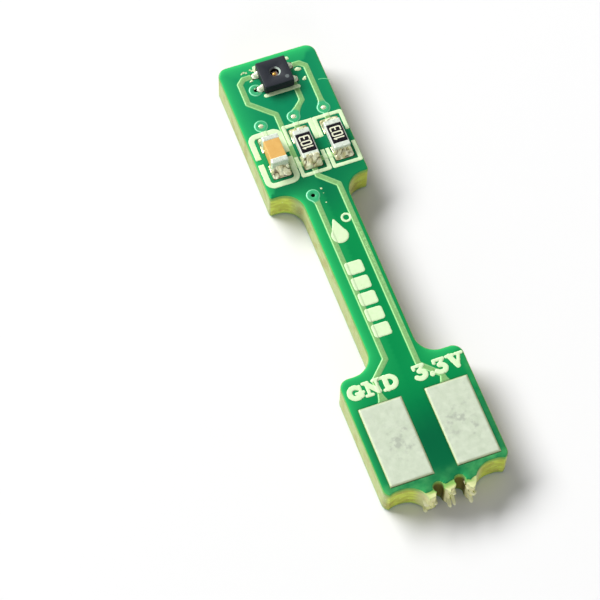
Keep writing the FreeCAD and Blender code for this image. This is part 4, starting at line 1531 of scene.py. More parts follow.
@dataclass
class Laminate:
    """Glass cloth board: routed outline, drilled vias and the torn ends of its tab."""

    board: BoardPlan
    anchor: float = 1.75
    bites: tuple[float, float] = (-0.595, 0.435)
    bite_drop: float = 0.27
    bite_radius: float = 0.25
    slot_x: tuple[float, float] = (-2.165, 2.085)
    slot_drop: float = 0.86
    slot_radius: float = 1.0
    levels: int = 16
    counts: tuple[int, int, int] = (84, 56, 84)
    wall_step: float = 0.12
    torn_fade: float = 0.12
    # Reach of the painted shade round each bite
    bored_fade: float = 0.06
    fray: float = 0.032
    chatter: float = 0.004
    arris: float = 0.012
    pale_reach: float = 1.75
    pale_fade: float = 0.6
    pale_share: float = 0.75
    bundles: tuple[tuple, ...] = (
        ((-0.15, -11.70, 0.62), (-0.21, -12.44, 0.48), 0.120, 0.092),
        ((0.06, -11.75, 0.62), (0.03, -12.40, 0.46), 0.105, 0.074),
        ((0.80, -11.85, 0.62), (0.82, -12.52, 0.42), 0.125, 0.105),
        ((0.80, -12.05, 1.12), (1.00, -12.42, 0.98), 0.135, 0.140),
        ((-1.10, -11.65, 0.30), (-1.29, -12.18, 0.22), 0.150, 0.095),
        ((-0.86, -11.75, 0.80), (-0.82, -12.20, 0.70), 0.140, 0.110),
        ((-1.02, -11.75, 1.35), (-1.02, -12.08, 1.25), 0.120, 0.100),
        ((-1.14, -11.60, 0.85), (-1.20, -12.12, 0.66), 0.200, 0.150),
        ((-0.12, -11.75, 1.20), (-0.13, -12.10, 1.14), 0.150, 0.130),
        ((0.08, -11.75, 1.05), (0.10, -12.12, 0.98), 0.140, 0.110),
        ((0.76, -11.75, 1.30), (0.76, -12.20, 1.24), 0.130, 0.110),
    )

    def outline(self, face: Face) -> Array:
        """Finely divided outline of one face, from the solid model."""
        triangles = flat_triangles("board_core", self.board.level[face], face.value)
        return refined(rim_loops(triangles)[0], pieces=6)

    def split(self, loop: Array) -> tuple[Array, Array]:
        """Part an outline at the anchors.

        Args:
            loop: Whole outline.

        Returns:
            The torn tab from left to right, and the routed rest from right to left.
        """
        low = loop[:, 1] < self.board.tail_end + 0.2
        after = np.roll(loop, -1, axis=0)
        first = np.nonzero(low & (loop[:, 0] < -self.anchor) & (after[:, 0] >= -self.anchor))[0][0]
        turned, low = np.roll(loop, -int(first) - 1, axis=0), np.roll(low, -int(first) - 1)
        last = int(np.nonzero((turned[:-1, 0] <= self.anchor) & (turned[1:, 0] > self.anchor)
                              & low[:-1])[0][0])
        ends = []
        for start, end, x in ((turned[-1], turned[0], -self.anchor),
                              (turned[last], turned[last + 1], self.anchor)):
            ends.append(start + (end - start) * (x - start[0]) / (end[0] - start[0]))
        return (np.concatenate([ends[:1], turned[:last + 1], ends[1:]]),
                np.concatenate([ends[1:], turned[last + 1:], ends[:1]]))

    def evened(self, tab: Array) -> Array:
        """Tab line with the same count of points between its bites on every level.

        Args:
            tab: Line of the torn tab.

        Returns:
            The line with evenly spaced points.
        """
        parts, start = [], 0
        for x, count in zip(self.bites, self.counts):
            crossing = np.nonzero((tab[:-1, 0] <= x) & (tab[1:, 0] > x))[0]
            index = int(crossing[crossing >= start][0]) + 1
            parts.append(resampled(tab[start:index + 1], count)[:-1])
            start = index
        return np.concatenate([*parts, resampled(tab[start:], self.counts[-1])])

    def cut_gap(self, points: Array, places: Sequence[float], drop: float,
                radius: float) -> Array:
        """Distance of points to the nearest of the round cuts at the tail's end.

        Args:
            points: Plan places.
            places: X of each cut's centre.
            drop: How far the centres lie below the tail's end.
            radius: Radius of the cuts.

        Returns:
            The distance of each place.
        """
        centres = [(x, self.board.tail_end - drop) for x in places]
        return np.min([np.abs(np.linalg.norm(points - centre, axis=1) - radius)
                       for centre in centres], axis=0)

    def bite_gap(self, points: Array) -> Array:
        """Distance of points to the nearest drilled bite."""
        return self.cut_gap(points, self.bites, self.bite_drop, self.bite_radius)

    def torn_share(self, points: Array) -> Array:
        """How far each place of the tab lies from what the router and the drill cut."""
        slots = self.cut_gap(points, self.slot_x, self.slot_drop, self.slot_radius)
        return smooth_step(np.minimum(slots, self.bite_gap(points)) / self.torn_fade)

    def build(self) -> None:
        """Loft the wall through its levels, close it and dress it."""
        top, bottom = self.board.level[Face.FRONT], self.board.level[Face.BACK]
        front_tab, rest = self.split(self.outline(Face.FRONT))
        back_tab, _ = self.split(self.outline(Face.BACK))
        front_tab, back_tab = self.evened(front_tab), self.evened(back_tab)
        rest = divided(rest, self.wall_step, closed=False)[1:-1]
        loops, pale, bored = [], [], []
        for share in (0.0, *np.linspace(0.01, 0.99, self.levels), 1.0):
            tab = back_tab + (front_tab - back_tab) * share
            loop = np.concatenate([tab, rest])
            place = raised(loop, bottom + (top - bottom) * share)
            torn = np.zeros(len(loop))
            torn[:len(tab)] = self.torn_share(tab)
            strands = ripple(place, (0.07, 0.5, 0.11), 3.0)
            strands += 0.5 * ripple(place, (0.03, 0.3, 0.05), 8.0)
            chatter = ripple(place, (0.16, 0.16, 0.5), 5.0)
            push = torn * self.fray * strands + (1.0 - torn) * self.chatter * chatter
            if share in (0.0, 1.0):
                push -= self.arris
            place[:, :2] += outward(loop) * push[:, None]
            loops.append(place)
            # Painted shade in the bites, weaker towards the top of the wall
            bite = smooth_step(1.4 - self.bite_gap(loop) / self.bored_fade)
            reach = smooth_step((self.pale_reach - np.abs(loop[:, 0])) / self.pale_fade)
            reach *= (loop[:, 1] < self.board.tail_end + 0.1) * (1.0 - bite)
            pale.append(np.maximum(torn, self.pale_share * reach))
            bored.append(bite * smooth_step((1.0 - share) / 0.25))
            if share == 0.0:
                low_torn = torn
        draft = Draft()
        draft.loft(loops, torn=np.concatenate(pale), bore=np.concatenate(bored))
        holes = [circle(centre, self.board.drill / 2.0) for centre in self.board.vias.values()]
        draft.cap([loops[-1][:, :2], *holes], top, True)
        draft.cap([loops[0][:, :2], *holes], bottom, False)
        for hole in holes:
            draft.loft([raised(hole[::-1], z) for z in (bottom, top)])
        draft.piece("laminate_blank", "laminate", ["board_core"], sharp=40.0)
        self.splinters(loops, low_torn)
        self.long_fibres()

    def long_fibres(self) -> None:
        """Make the bundles of glass fibre that stick out of the torn ends."""
        draft = Draft()
        angle = np.linspace(0.0, 2.0 * math.pi, 20, endpoint=False)[:, None]
        for number, (start, end, thick, thin) in enumerate(self.bundles):
            run = np.subtract(end, start)
            side = np.cross(run, (0.0, 0.0, 1.0))
            side /= np.linalg.norm(side)
            up = np.cross(side, run / np.linalg.norm(run))
            rings = []
            for share in (*np.linspace(0.0, 0.85, 9), 0.91, 0.96, 0.99, 1.0):
                blunt = math.sqrt(max(1.0 - max(share - 0.8, 0.0) ** 2 / 0.04, 0.002))
                radius = (thick + (thin - thick) * share) * blunt
                middle = start + run * share + up * 0.05 * math.sin(2.2 * share + number)
                spoke = radius * (np.cos(angle) * side + 0.75 * np.sin(angle) * up)
                lumps = ripple(middle + spoke, (0.05, 0.2, 0.05), 21.0 + number)
                rings.append(middle + spoke * (1.0 + 0.10 * lumps[:, None]))
            draft.loft(rings[::-1], lids=True)
        draft.piece("torn_fibre_bundles", "prong", sharp=60.0)

    def splinters(self, loops: Sequence[Array], torn: Array) -> None:
        """Set glass splinters on the torn ends.

        Args:
            loops: Rings of the wall, from the back up.
            torn: How torn each point of a ring is.
        """
        draft = Draft()
        low, high = 3, len(loops) - 4
        for k in range(sum(self.counts) - 3):
            if min(torn[k], torn[k + 1]) <= 0.9:
                continue
            for level in range(low, high, 3):
                after = min(level + 3, high)
                draft.add(np.array([loops[level][k], loops[level][k + 1],
                                    loops[after][k + 1], loops[after][k]]), [(0, 1, 2, 3)])
        SPLINTER.dress(draft, "torn_glass_splinters", "laminate", {
            "Density": 24.0 / MM**2, "Radius": 0.02 * MM, "Shortest": 0.05 * MM,
            "Longest": 0.16 * MM, "Seed": 4})


@dataclass
class SolderMask:
    """Green mask of one face: it follows the copper below and leaves the lands bare."""

    board: BoardPlan
    foil: FoilPlan
    thickness: float = MASK
    spacing: float = 0.16
    roll: float = 0.05
    edge_share: float = 0.45
    fray: float = 0.035
    dimple: float = 0.0108
    dimple_reach: float = 0.10
    lit_side: tuple[float, float] = (-0.72, 0.69)
    # Even share of the painted edge light on the back face
    back_glow: float = 0.45

    # Share and reach of the painted bright line at the edge and of the painted soft light beside it
    line_glow: tuple[float, float] = (0.35, 0.10)
    soft_glow: tuple[float, float] = (0.65, 0.75)

    # The head lies above the first height, and the tail below the second
    head_low: float = 6.0
    tail_high: float = -6.0

    def outline(self) -> Array:
        """Outline from the solid mask, ragged where the tab was torn off.

        Returns:
            The outline's points.
        """
        face = self.foil.face
        triangles = flat_triangles("solder_mask_" + face.word, self.board.level[face], -face.value)
        loop = divided(refined(rim_loops(triangles)[0]), 0.08)
        torn = smooth_step((self.board.tail_end + 0.02 - loop[:, 1]) / 0.1)
        torn *= smooth_step((1.3 - np.abs(loop[:, 0])) / 0.2)
        push = self.fray * torn * ripple(loop, (0.07, 0.07), 11.0 + face.value)
        return loop + outward(loop) * push[:, None]

    def build(self) -> None:
        """Make the sheet, lift it over the copper and dress it."""
        face, vias = self.foil.face, list(self.board.vias.values())
        outline = self.outline()
        holes = [divided(rectangle(box, 0.03, 3), 0.1) for box in self.board.openings(face)]
        rounds = [circle(centre, self.board.mask_hole / 2.0, 28) for centre in vias]
        loops = [outline, *self.merged_holes(holes), *rounds]
        segments = loop_segments(loops)
        near = beside(self.foil.rim, (0.11, 0.075, 0.045, 0.02, -0.005, -0.03, -0.065, -0.1), 0.06)
        edge = beside(segments, (0.012, 0.03, 0.06, -0.012, -0.03, -0.06), 0.09)
        box = (*outline.min(axis=0), *outline.max(axis=0))
        points = spread([thinned(near, 0.018), edge, grid_points(box, self.spacing)], segments,
                        0.008)

        def top(places: Array) -> Array:
            """Height of the mask before it is lifted over the copper."""
            gap = edge_distance(places, segments)
            height = self.thickness * risen(gap / self.roll, self.edge_share)
            for centre in vias:
                away = np.linalg.norm(places - centre, axis=1) - self.board.mask_hole / 2.0
                height -= self.dimple * smooth_step(1.0 - away / self.dimple_reach)
            return height

        draft = sheet_draft(face, loops, points, self.board.level[face], top, 0.0, 0.0)
        corners = np.concatenate(draft.places)[:, :2]
        # Painted light along the mask's edges, by the side that the lamp lights
        draft.values["glow"] = [self.glow(corners, loop_segments([outline]))]
        via_gap = np.min([np.linalg.norm(corners - centre, axis=1) for centre in vias], axis=0)
        via_share = smooth_step(1.5 - (via_gap - self.board.via_ring / 2.0) / 0.10)
        draft.values["via"] = [via_share]
        draft.values["scuff"] = [self.scuff(corners)]
        self.foil.drape(draft, "solder_mask_sheet_" + face.word, "mask",
                        ["solder_mask_" + face.word])

    def glow(self, corners: Array, outer: Array) -> Array:
        """How much painted light lies along the board's edge, as if light showed through there,
        stronger on the sides that face the lamp.

        Args:
            corners: Plan places.
            outer: Edges of the mask's outline.

        Returns:
            The brightness at each place.
        """
        gap, number = nearest_edge(corners, outer)
        run = unit(outer[:, 1] - outer[:, 0])[number]
        towards = run[:, 1] * self.lit_side[0] - run[:, 0] * self.lit_side[1]
        side = risen(0.5 + 0.9 * towards, 0.22)
        side += 0.35 * np.clip(-run[:, 0], 0.0, 1.0) * (corners[:, 1] > self.head_low)
        side *= 1.0 - 0.45 * smooth_step((self.tail_high - corners[:, 1]) / 2.0)
        if self.foil.face is Face.BACK:
            side = self.back_glow
        return side * sum(share * np.exp(-gap / reach)
                          for share, reach in (self.line_glow, self.soft_glow))

    def scuff(self, corners: Array) -> Array:
        """How worn the mask is, along the tail's end and the tail's right edge.

        Args:
            corners: Plan places.

        Returns:
            The wear at each place.
        """
        low = smooth_step((self.board.tail_end + 0.75 - corners[:, 1]) / 0.5)
        low *= risen((np.abs(corners[:, 0]) - 0.7) / 0.7, 0.4)
        right = smooth_step((corners[:, 0] - 2.72) / 0.12) * (corners[:, 1] < self.tail_high)
        return np.maximum(low, 0.4 * right)

    @staticmethod
    def merged_holes(holes: Sequence[Array]) -> list[Array]:
        """Outlines of the openings, joined where two of them overlap.

        Args:
            holes: Outline of each opening.

        Returns:
            The joined outlines.
        """
        segments = [loop_segments([hole]) for hole in holes]
        corners, triangles = triangulated(np.concatenate(segments))
        places = corners[triangles]
        return rim_loops(places[inside_any(places.mean(axis=1), segments)])


@dataclass
class Print:
    """Legend ink on the mask: it follows the ridges below and has slightly wandering edges."""

    foil: FoilPlan
    base: float = MASK
    thickness: float = 0.020
    embed: float = 0.004
    bleed: float = 0.010
    wander: float = 0.11
    roll: float = 0.035
    edge_share: float = 0.35

    def lay(self, name: str, shape: Field, box: Box, seed: float, step: float = 0.03,
            nodes: Sequence[str] = (), finish: str = "ink") -> None:
        """Print one shape.

        Args:
            name: Name of the piece.
            shape: Field of the shape.
            box: Region that holds it.
            seed: Pattern of the edge's wander.
            step: Fineness of the outline.
            nodes: Solid nodes that it stands for.
            finish: Key of its finish.
        """
        def wavy(points: Array) -> Array:
            """Field of the shape with an edge that wanders as ink does."""
            return shape(points) + self.bleed * ripple(points, (self.wander,) * 2, seed)

        loops = contours(wavy, box, step)
        segments = loop_segments(loops)
        near = beside(self.foil.rim, (0.075, 0.045, 0.02, -0.005, -0.03, -0.065, -0.1), 0.05)
        edge = beside(segments, (0.014, 0.032, -0.014, -0.032), 0.04)
        points = np.concatenate([near, edge, grid_points(box, 0.09)])
        low, high = np.array(box[:2]) - MARGIN, np.array(box[2:]) + MARGIN
        close = ((points > low) & (points < high)).all(axis=1)
        points = spread([points[close]], segments, 0.007)

        def top(places: Array) -> Array:
            """Height of the ink, rounded down at its edge."""
            gap = edge_distance(places, segments)
            return self.base + self.thickness * risen(gap / self.roll, self.edge_share)

        level = self.foil.board.level[self.foil.face]
        self.foil.drape(sheet_draft(self.foil.face, loops, points, level, top,
                                    self.base - self.embed, 1.0), name, finish, nodes)

    def lay_box(self, name: str, box: Box, radius: float, seed: float, **options: object) -> None:
        """Print a rounded rectangle."""
        self.lay(name, partial(box_field, box=box, radius=radius), box, seed, **options)


@dataclass(frozen=True)
class ChipFrame:
    """Printed frame round a chip part, open at the middle of both sides."""

    part: str
    size: tuple[float, float]
    line: float
    radius: float
    gap: float
    shift: tuple[float, float]
    bridge: float = 0.0

    def shape(self) -> tuple[Field, Box]:
        """Field of the frame, widened by the bridge at its upper right, and its region.

        Returns:
            The field and the region.
        """
        centre = node_centre(self.part + "_ceramic")[:2] + np.array(self.shift)
        box = box_around(centre, self.size)
        hole = box_around(centre, np.array(self.size) - 2.0 * self.line)
        reach = box[2] + self.bridge
        side = (box[2] - self.line, centre[1] + self.gap / 2.0, reach, box[3])

        def outer(points: Array) -> Array:
            """Frame less its hole and its side gaps."""
            ring = np.maximum(box_field(points, box, self.radius),
                              -box_field(points, hole, max(self.radius - self.line, 0.04)))
            ring = np.maximum(ring, self.gap / 2.0 - np.abs(points[:, 1] - centre[1]))
            return np.minimum(ring, box_field(points, side, 0.02)) if self.bridge else ring
        return outer, (box[0], box[1], reach, box[3])


@dataclass
class Legend:
    """All the printed marks: frames, bars, plain fields, pin labels and a plain sign."""

    board: BoardPlan
    front: Print
    back: Print
    frames: tuple[ChipFrame, ...] = (
        ChipFrame("capacitor", (1.73, 3.17), 0.28, 0.45, 0.27, (-0.06, -0.065)),
        ChipFrame("data_resistor", (1.53, 3.05), 0.19, 0.10, 0.68, (0.03, -0.025), 0.06),
        ChipFrame("clock_resistor", (1.53, 3.05), 0.19, 0.10, 0.68, (0.03, -0.025)),
    )
    bar_size: tuple[float, float] = (1.88, 0.20)
    bar_shift: float = 0.085
    bar_gap: float = 0.01
    block_size: tuple[float, float] = (0.86, 0.70)
    block_pitch: float = 0.87
    block_count: int = 5
    block_start: tuple[float, float] = (-0.125, 7.97)
    sign_place: tuple[float, float] = (-0.15, 13.3)
    drop_radius: float = 0.36
    drop_tip: float = 0.86
    drop_swell: float = 0.06
    ring_radius: float = 0.20
    ring_half_line: float = 0.055
    ring_offset: tuple[float, float] = (0.62, 0.82)
    label_stroke: float = 0.25
    back_label_stroke: float = 0.15
    scratch_centre: tuple[float, float] = (2.02, 9.74)
    scratch_radius: float = 0.62
    scratch_arc: tuple[float, float] = (95.0, 42.0)

    def chip_frames(self) -> None:
        """Print the frames round the chip parts."""
        for number, chip in enumerate(self.frames):
            self.front.lay(f"legend_{chip.part}_frame", *chip.shape(), 1.0 + number,
                           nodes=["legend_front"] if number == 0 else [])

    def sensor_bars(self) -> None:
        """Print the two bars along the sensor."""
        low, high = node_box("sensor_body")
        middle, inset = (low[0] + high[0]) / 2.0 + self.bar_shift, self.bar_size[1] / 2.0
        for word, y in (("upper", high[1] + self.bar_gap + inset),
                        ("lower", low[1] - self.bar_gap - inset)):
            self.front.lay_box(f"legend_sensor_bar_{word}",
                               box_around((middle, y), self.bar_size), 0.09, 5.0)

    def neck_blocks(self) -> None:
        """Print the row of plain blocks on the neck."""
        x, start = self.block_start
        for number in range(self.block_count):
            y = self.board.tail_end + start + number * self.block_pitch
            self.front.lay_box(f"legend_neck_block_{number + 1}",
                               box_around((x, y), self.block_size), 0.14, 7.0 + number)

    def neck_sign(self) -> None:
        """Print a plain drop with a small ring beside it."""
        centre = np.array([self.sign_place[0], self.board.tail_end + self.sign_place[1]])
        angle = np.linspace(-0.25 * math.pi, 1.25 * math.pi, 24)
        bowl = np.column_stack([np.cos(angle), -np.sin(angle)]) * self.drop_radius
        segments = loop_segments([np.concatenate([bowl, [(0.0, self.drop_tip)]]) + centre])

        def drop(points: Array) -> Array:
            """Filled drop with its point up."""
            gap = edge_distance(points, segments)
            return np.where(inside(points, segments), -gap, gap) - self.drop_swell

        spot = centre + np.array(self.ring_offset)

        def ring(points: Array) -> Array:
            """Thin ring."""
            gap = np.linalg.norm(points - spot, axis=1) - self.ring_radius
            return np.abs(gap) - self.ring_half_line

        self.front.lay("legend_drop", drop, (*(centre - 0.55), *(centre + (0.55, 1.05))), 15.0,
                       step=0.025)
        self.front.lay("legend_ring", ring, box_around(spot, (0.6, 0.6)), 16.0, step=0.025)

    def back_fields(self) -> None:
        """Print the plain marking fields on the back."""
        low, high = node_box("legend_back")
        boxes = {}
        for loop in rim_loops(flat_triangles("legend_back", float(low[2]), Face.BACK.value)):
            bottom, top = float(loop[:, 1].min()), float(loop[:, 1].max())
            boxes[round(bottom + top)] = (float(low[0]), bottom, float(high[0]), top)
        for number, box in enumerate(sorted(boxes.values(), key=lambda box: box[1])):
            self.back.lay_box(f"legend_back_field_{number + 1}", box, 0.15, 20.0 + number,
                              step=0.04, nodes=["legend_back"] if number == 0 else [])

    def labels(self) -> None:
        """Print the pin labels of the four pads."""
        words = (("GND", self.front, (-2.86, 4.84, -0.31, 5.81)),
                 ("3.3V", self.front, (0.39, 4.87, 2.92, 5.81)),
                 ("SCL", self.back, (0.68, 5.05, 2.68, 5.80)),
                 ("SDA", self.back, (-2.66, 5.10, -0.41, 5.80)))
        for number, (word, printer, box) in enumerate(words):
            box = (box[0], self.board.tail_end + box[1], box[2], self.board.tail_end + box[3])
            mirrored = printer is self.back
            text = Lettering(word, box, self.back_label_stroke if mirrored else self.label_stroke,
                             mirrored)
            printer.lay("label_" + word.replace(".", "_").lower(), text.shape, box,
                        30.0 + number, step=0.022)

    def scratch(self) -> None:
        """Scratch the mask near the head's right edge with a thin pale curve."""
        angle = np.radians(np.linspace(*self.scratch_arc, 16))
        line = self.scratch_radius * np.column_stack([np.cos(angle), np.sin(angle)])
        line += self.scratch_centre
        box = (*(line.min(axis=0) - 0.05), *(line.max(axis=0) + 0.05))
        mark = Print(self.front.foil, MASK + 0.0002, 0.0015, 0.004, 0.004)
        mark.lay("mask_scratch", partial(stroke_field, line=line, width=0.034), box, 44.0,
                 step=0.012, finish="scratch")

    def build(self) -> None:
        """Print everything."""
        self.chip_frames()
        self.sensor_bars()
        self.neck_blocks()
        self.neck_sign()
        self.back_fields()
        self.labels()
        self.scratch()


def arc_line(centre: tuple[float, float], size: tuple[float, float], start: float,
             end: float, count: int = 14) -> list[tuple[float, float]]:
    """Points along an ellipse's arc, with angles in degrees."""
    angles = np.radians(np.linspace(start, end, count))
    return [(centre[0] + size[0] * math.cos(a), centre[1] + size[1] * math.sin(a)) for a in angles]


# Strokes of each sign in a cell of width 1 and height 1, heavy and light
SIGNS: dict[str, tuple[float, list, list]] = {
    "G": (1.0, [arc_line((0.52, 0.5), (0.36, 0.36), 52.0, 330.0), [(0.84, 0.42), (0.84, 0.22)]],
          [[(0.56, 0.42), (1.0, 0.42)], [(0.86, 0.84), (0.86, 0.62)]]),
    "N": (1.05, [[(0.20, 0.86), (0.78, 0.16)]],
          [[(0.20, 0.9), (0.20, 0.1)], [(0.80, 0.9), (0.80, 0.1)], [(0.02, 0.92), (0.30, 0.92)],
           [(0.02, 0.08), (0.38, 0.08)], [(0.62, 0.92), (0.98, 0.92)]]),
    "D": (1.0, [[(0.24, 0.9), (0.24, 0.1)], arc_line((0.42, 0.5), (0.42, 0.38), -85.0, 85.0)],
          [[(0.02, 0.92), (0.45, 0.92)], [(0.02, 0.08), (0.45, 0.08)]]),
    "3": (0.92, [arc_line((0.45, 0.29), (0.36, 0.25), -150.0, 90.0)],
          [[(0.12, 0.92), (0.84, 0.92)], [(0.84, 0.92), (0.42, 0.55)],
           [(0.12, 0.92), (0.12, 0.74)]]),
    ".": (0.36, [[(0.5, 0.10), (0.5, 0.12)]], []),
    "V": (1.05, [[(0.20, 0.9), (0.50, 0.12)]],
          [[(0.80, 0.9), (0.52, 0.12)], [(0.0, 0.92), (0.42, 0.92)], [(0.62, 0.92), (1.0, 0.92)]]),
    "S": (0.9, [arc_line((0.5, 0.71), (0.32, 0.19), 30.0, 250.0),
                arc_line((0.5, 0.29), (0.32, 0.20), 70.0, -150.0)],
          [[(0.82, 0.9), (0.82, 0.72)], [(0.16, 0.3), (0.16, 0.1)]]),
    "C": (1.0, [arc_line((0.52, 0.5), (0.36, 0.36), 48.0, 316.0)], [[(0.86, 0.86), (0.86, 0.62)]]),
    "L": (0.95, [[(0.30, 0.9), (0.30, 0.1)]],
          [[(0.04, 0.92), (0.58, 0.92)], [(0.04, 0.08), (0.9, 0.08)], [(0.9, 0.08), (0.9, 0.34)]]),
    "A": (1.1, [[(0.50, 0.9), (0.80, 0.1)]],
          [[(0.48, 0.9), (0.20, 0.1)], [(0.28, 0.34), (0.72, 0.34)], [(0.0, 0.08), (0.38, 0.08)],
           [(0.60, 0.08), (1.0, 0.08)]]),
    "1": (0.62, [], [[(0.5, 1.0), (0.5, 0.0)], [(0.16, 0.80), (0.5, 1.0)]]),
    "0": (1.0, [], [[(0.12, 0.1), (0.12, 0.9), (0.22, 1.0), (0.78, 1.0), (0.88, 0.9), (0.88, 0.1),
                     (0.78, 0.0), (0.22, 0.0), (0.12, 0.1)]]),
    "thin3": (1.0, [], [[(0.12, 1.0), (0.78, 1.0), (0.88, 0.9), (0.88, 0.1), (0.78, 0.0),
                         (0.12, 0.0)], [(0.36, 0.52), (0.88, 0.52)]]),
}


@dataclass
class Lettering:
    """A short word drawn with round strokes in a box."""

    signs: Sequence[str]
    box: Box
    stroke: float
    mirrored: bool = False
    light: float = 0.64
    turned: bool = False

    def __post_init__(self) -> None:
        """Place the strokes of every sign in the box."""
        total = sum(SIGNS[sign][0] for sign in self.signs)
        width, height = self.box[2] - self.box[0], self.box[3] - self.box[1]
        if self.turned:
            width, height = height, width
        self.strokes: list[tuple[Array, float]] = []
        start = 0.0
        for sign in self.signs:
            share, heavy, light = SIGNS[sign]
            for lines, stroke in ((heavy, self.stroke), (light, self.stroke * self.light)):
                for cell in map(np.array, lines):
                    x = (start + share * (0.04 + 0.92 * cell[:, 0])) / total * width
                    y = 0.4 * self.stroke + cell[:, 1] * (height - 0.8 * self.stroke)
                    self.strokes.append((self.placed(x, y), stroke))
            start += share

    def placed(self, x: Array, y: Array) -> Array:
        """Board places of points in the word's own frame.

        Args:
            x: Distances along the word.
            y: Heights in it.

        Returns:
            The places, one row each.
        """
        if self.turned:
            return np.column_stack([self.box[2] - y, self.box[1] + x])
        return np.column_stack([self.box[2] - x if self.mirrored else self.box[0] + x,
                                self.box[1] + y])

    def shape(self, points: Array) -> Array:
        """Field of the word."""
        return np.min([stroke_field(points, line, width) for line, width in self.strokes], axis=0)


def dome(radius: float, base: float, height: float, count: int) -> list[tuple[float, float]]:
    """Radius and height of each ring of a dome, from its top out."""
    return [(radius * math.sin(a), base + height * math.cos(a))
            for a in np.linspace(0.0, math.pi / 2.0, count)]


@dataclass
class Vias:
    """Solder beads that fill three of the vias from the component side."""

    board: BoardPlan
    crown: float = 0.035
    stand: float = 0.012
    hidden_radius: float = 0.125
    depth: float = 0.30
    tip: float = 0.05

    def build(self) -> None:
        """Make the beads."""
        draft = Draft()
        top = self.board.level[Face.FRONT] + COPPER
        for name, centre in self.board.vias.items():
            if name in self.board.open_vias:
                continue
            crown = dome(self.board.mask_hole / 2.0, top + self.stand, self.crown, 9)
            draft.spin([*crown, (self.hidden_radius, top), (self.hidden_radius, top - self.depth),
                        (0.0, top - self.depth - self.tip)], centre, 36)
        draft.piece("via_beads", "solder", ["via_solder_beads"])


@dataclass
class TinPad:
    """Tinned pad on the tail: flat with rolled edges and slight waves."""

    net: str
    face: Face
    bevel: float = 0.11
    corner: float = 0.10
    rim_share: float = 0.22
    wave: float = 0.0035
    wave_fade: float = 0.2
    columns: int = 56
    rows: int = 104

    def build(self) -> None:
        """Make the pad as a closed grid and dress it."""
        node = "tin_pad_" + self.net
        low, high = node_box(node)
        xs = self.stations(low[0], high[0], self.columns)
        ys = self.stations(low[1], high[1], self.rows)
        plan = grid_plan(xs, ys)
        gap = -box_field(plan, (*low[:2], *high[:2]), self.corner)
        rise = np.sin(np.clip(gap / self.bevel, 0.0, 1.0) * math.pi / 2.0)
        rise = self.rim_share + (1.0 - self.rim_share) * rise
        waves = ripple(plan, (0.55, 0.7), 2.0) + 0.5 * ripple(plan, (0.2, 0.2), 9.0)
        waves = waves * smooth_step(gap / self.wave_fade) - 1.0
        height = (high[2] - low[2]) * rise + self.wave * waves
        base = low[2] if self.face is Face.FRONT else high[2]
        middle = (plan - (low + high)[:2] / 2.0) / (high - low)[:2]
        wear = np.exp(-((middle[:, 0] * 1.9) ** 2 + ((middle[:, 1] + 0.03) * 4.2) ** 2))
        cream = smooth_step(1.0 - gap / (1.1 * self.bevel))
        draft = Draft()
        draft.shell(np.column_stack([plan, base + self.face.value * height]), raised(plan, base),
                    grid_faces(len(xs), len(ys)), self.face is Face.BACK,
                    wear=np.tile(wear, 2), rim=np.tile(cream, 2))
        draft.piece("tinned_pad_" + self.net, "tin", [node], sharp=50.0)

    def stations(self, low: float, high: float, count: int) -> Array:
        """Grid lines that are closer together near the pad's edges."""
        edge = np.array([0.0, 0.12, 0.26, 0.42, 0.6, 0.8, 1.0]) * self.bevel
        inner = np.linspace(low + self.bevel, high - self.bevel, count)[1:-1]
        return np.concatenate([low + edge, inner, (high - edge)[::-1]])


# Parts on the board

def rounded_block(node: str, radius: float, step: float, lump: float, seed: float,
                  sunk: float = 0.0) -> Draft:
    """Block with rounded edges and an uneven skin.

    Args:
        node: Solid node whose box it fills.
        radius: Radius of every edge.
        step: Largest distance between corners of the mesh.
        lump: How far the skin wanders.
        seed: Pattern of the wander.
        sunk: How far it reaches below the node.

    Returns:
        The closed block as a draft.
    """
    low, high = node_box(node)
    low[2] -= sunk
    arc = radius * np.tan(np.radians([45.0, 36.0, 27.0, 18.0, 9.0]))
    axes = []
    for start, end in zip(low + radius, high - radius):
        count = max(2, math.ceil((end - start) / step) + 1)
        axes.append(np.concatenate([start - arc, np.linspace(start, end, count),
                                    (end + arc)[::-1]]))
    draft = Draft()
    for axis in range(3):
        first, second = (axis + 1) % 3, (axis + 2) % 3
        quads = grid_faces(len(axes[first]), len(axes[second]))
        for level, flip in ((low[axis], True), (high[axis], False)):
            places = np.roll(raised(grid_plan(axes[first], axes[second]), level), first, axis=1)
            core = np.clip(places, low + radius, high - radius)
            away = unit(places - core)
            skin = core + away * radius
            skin += away * (lump * (ripple(skin, (0.12,) * 3, seed) - 0.4))[:, None]
            draft.add(skin, [ring[::-1] for ring in quads] if flip else quads)
    return draft


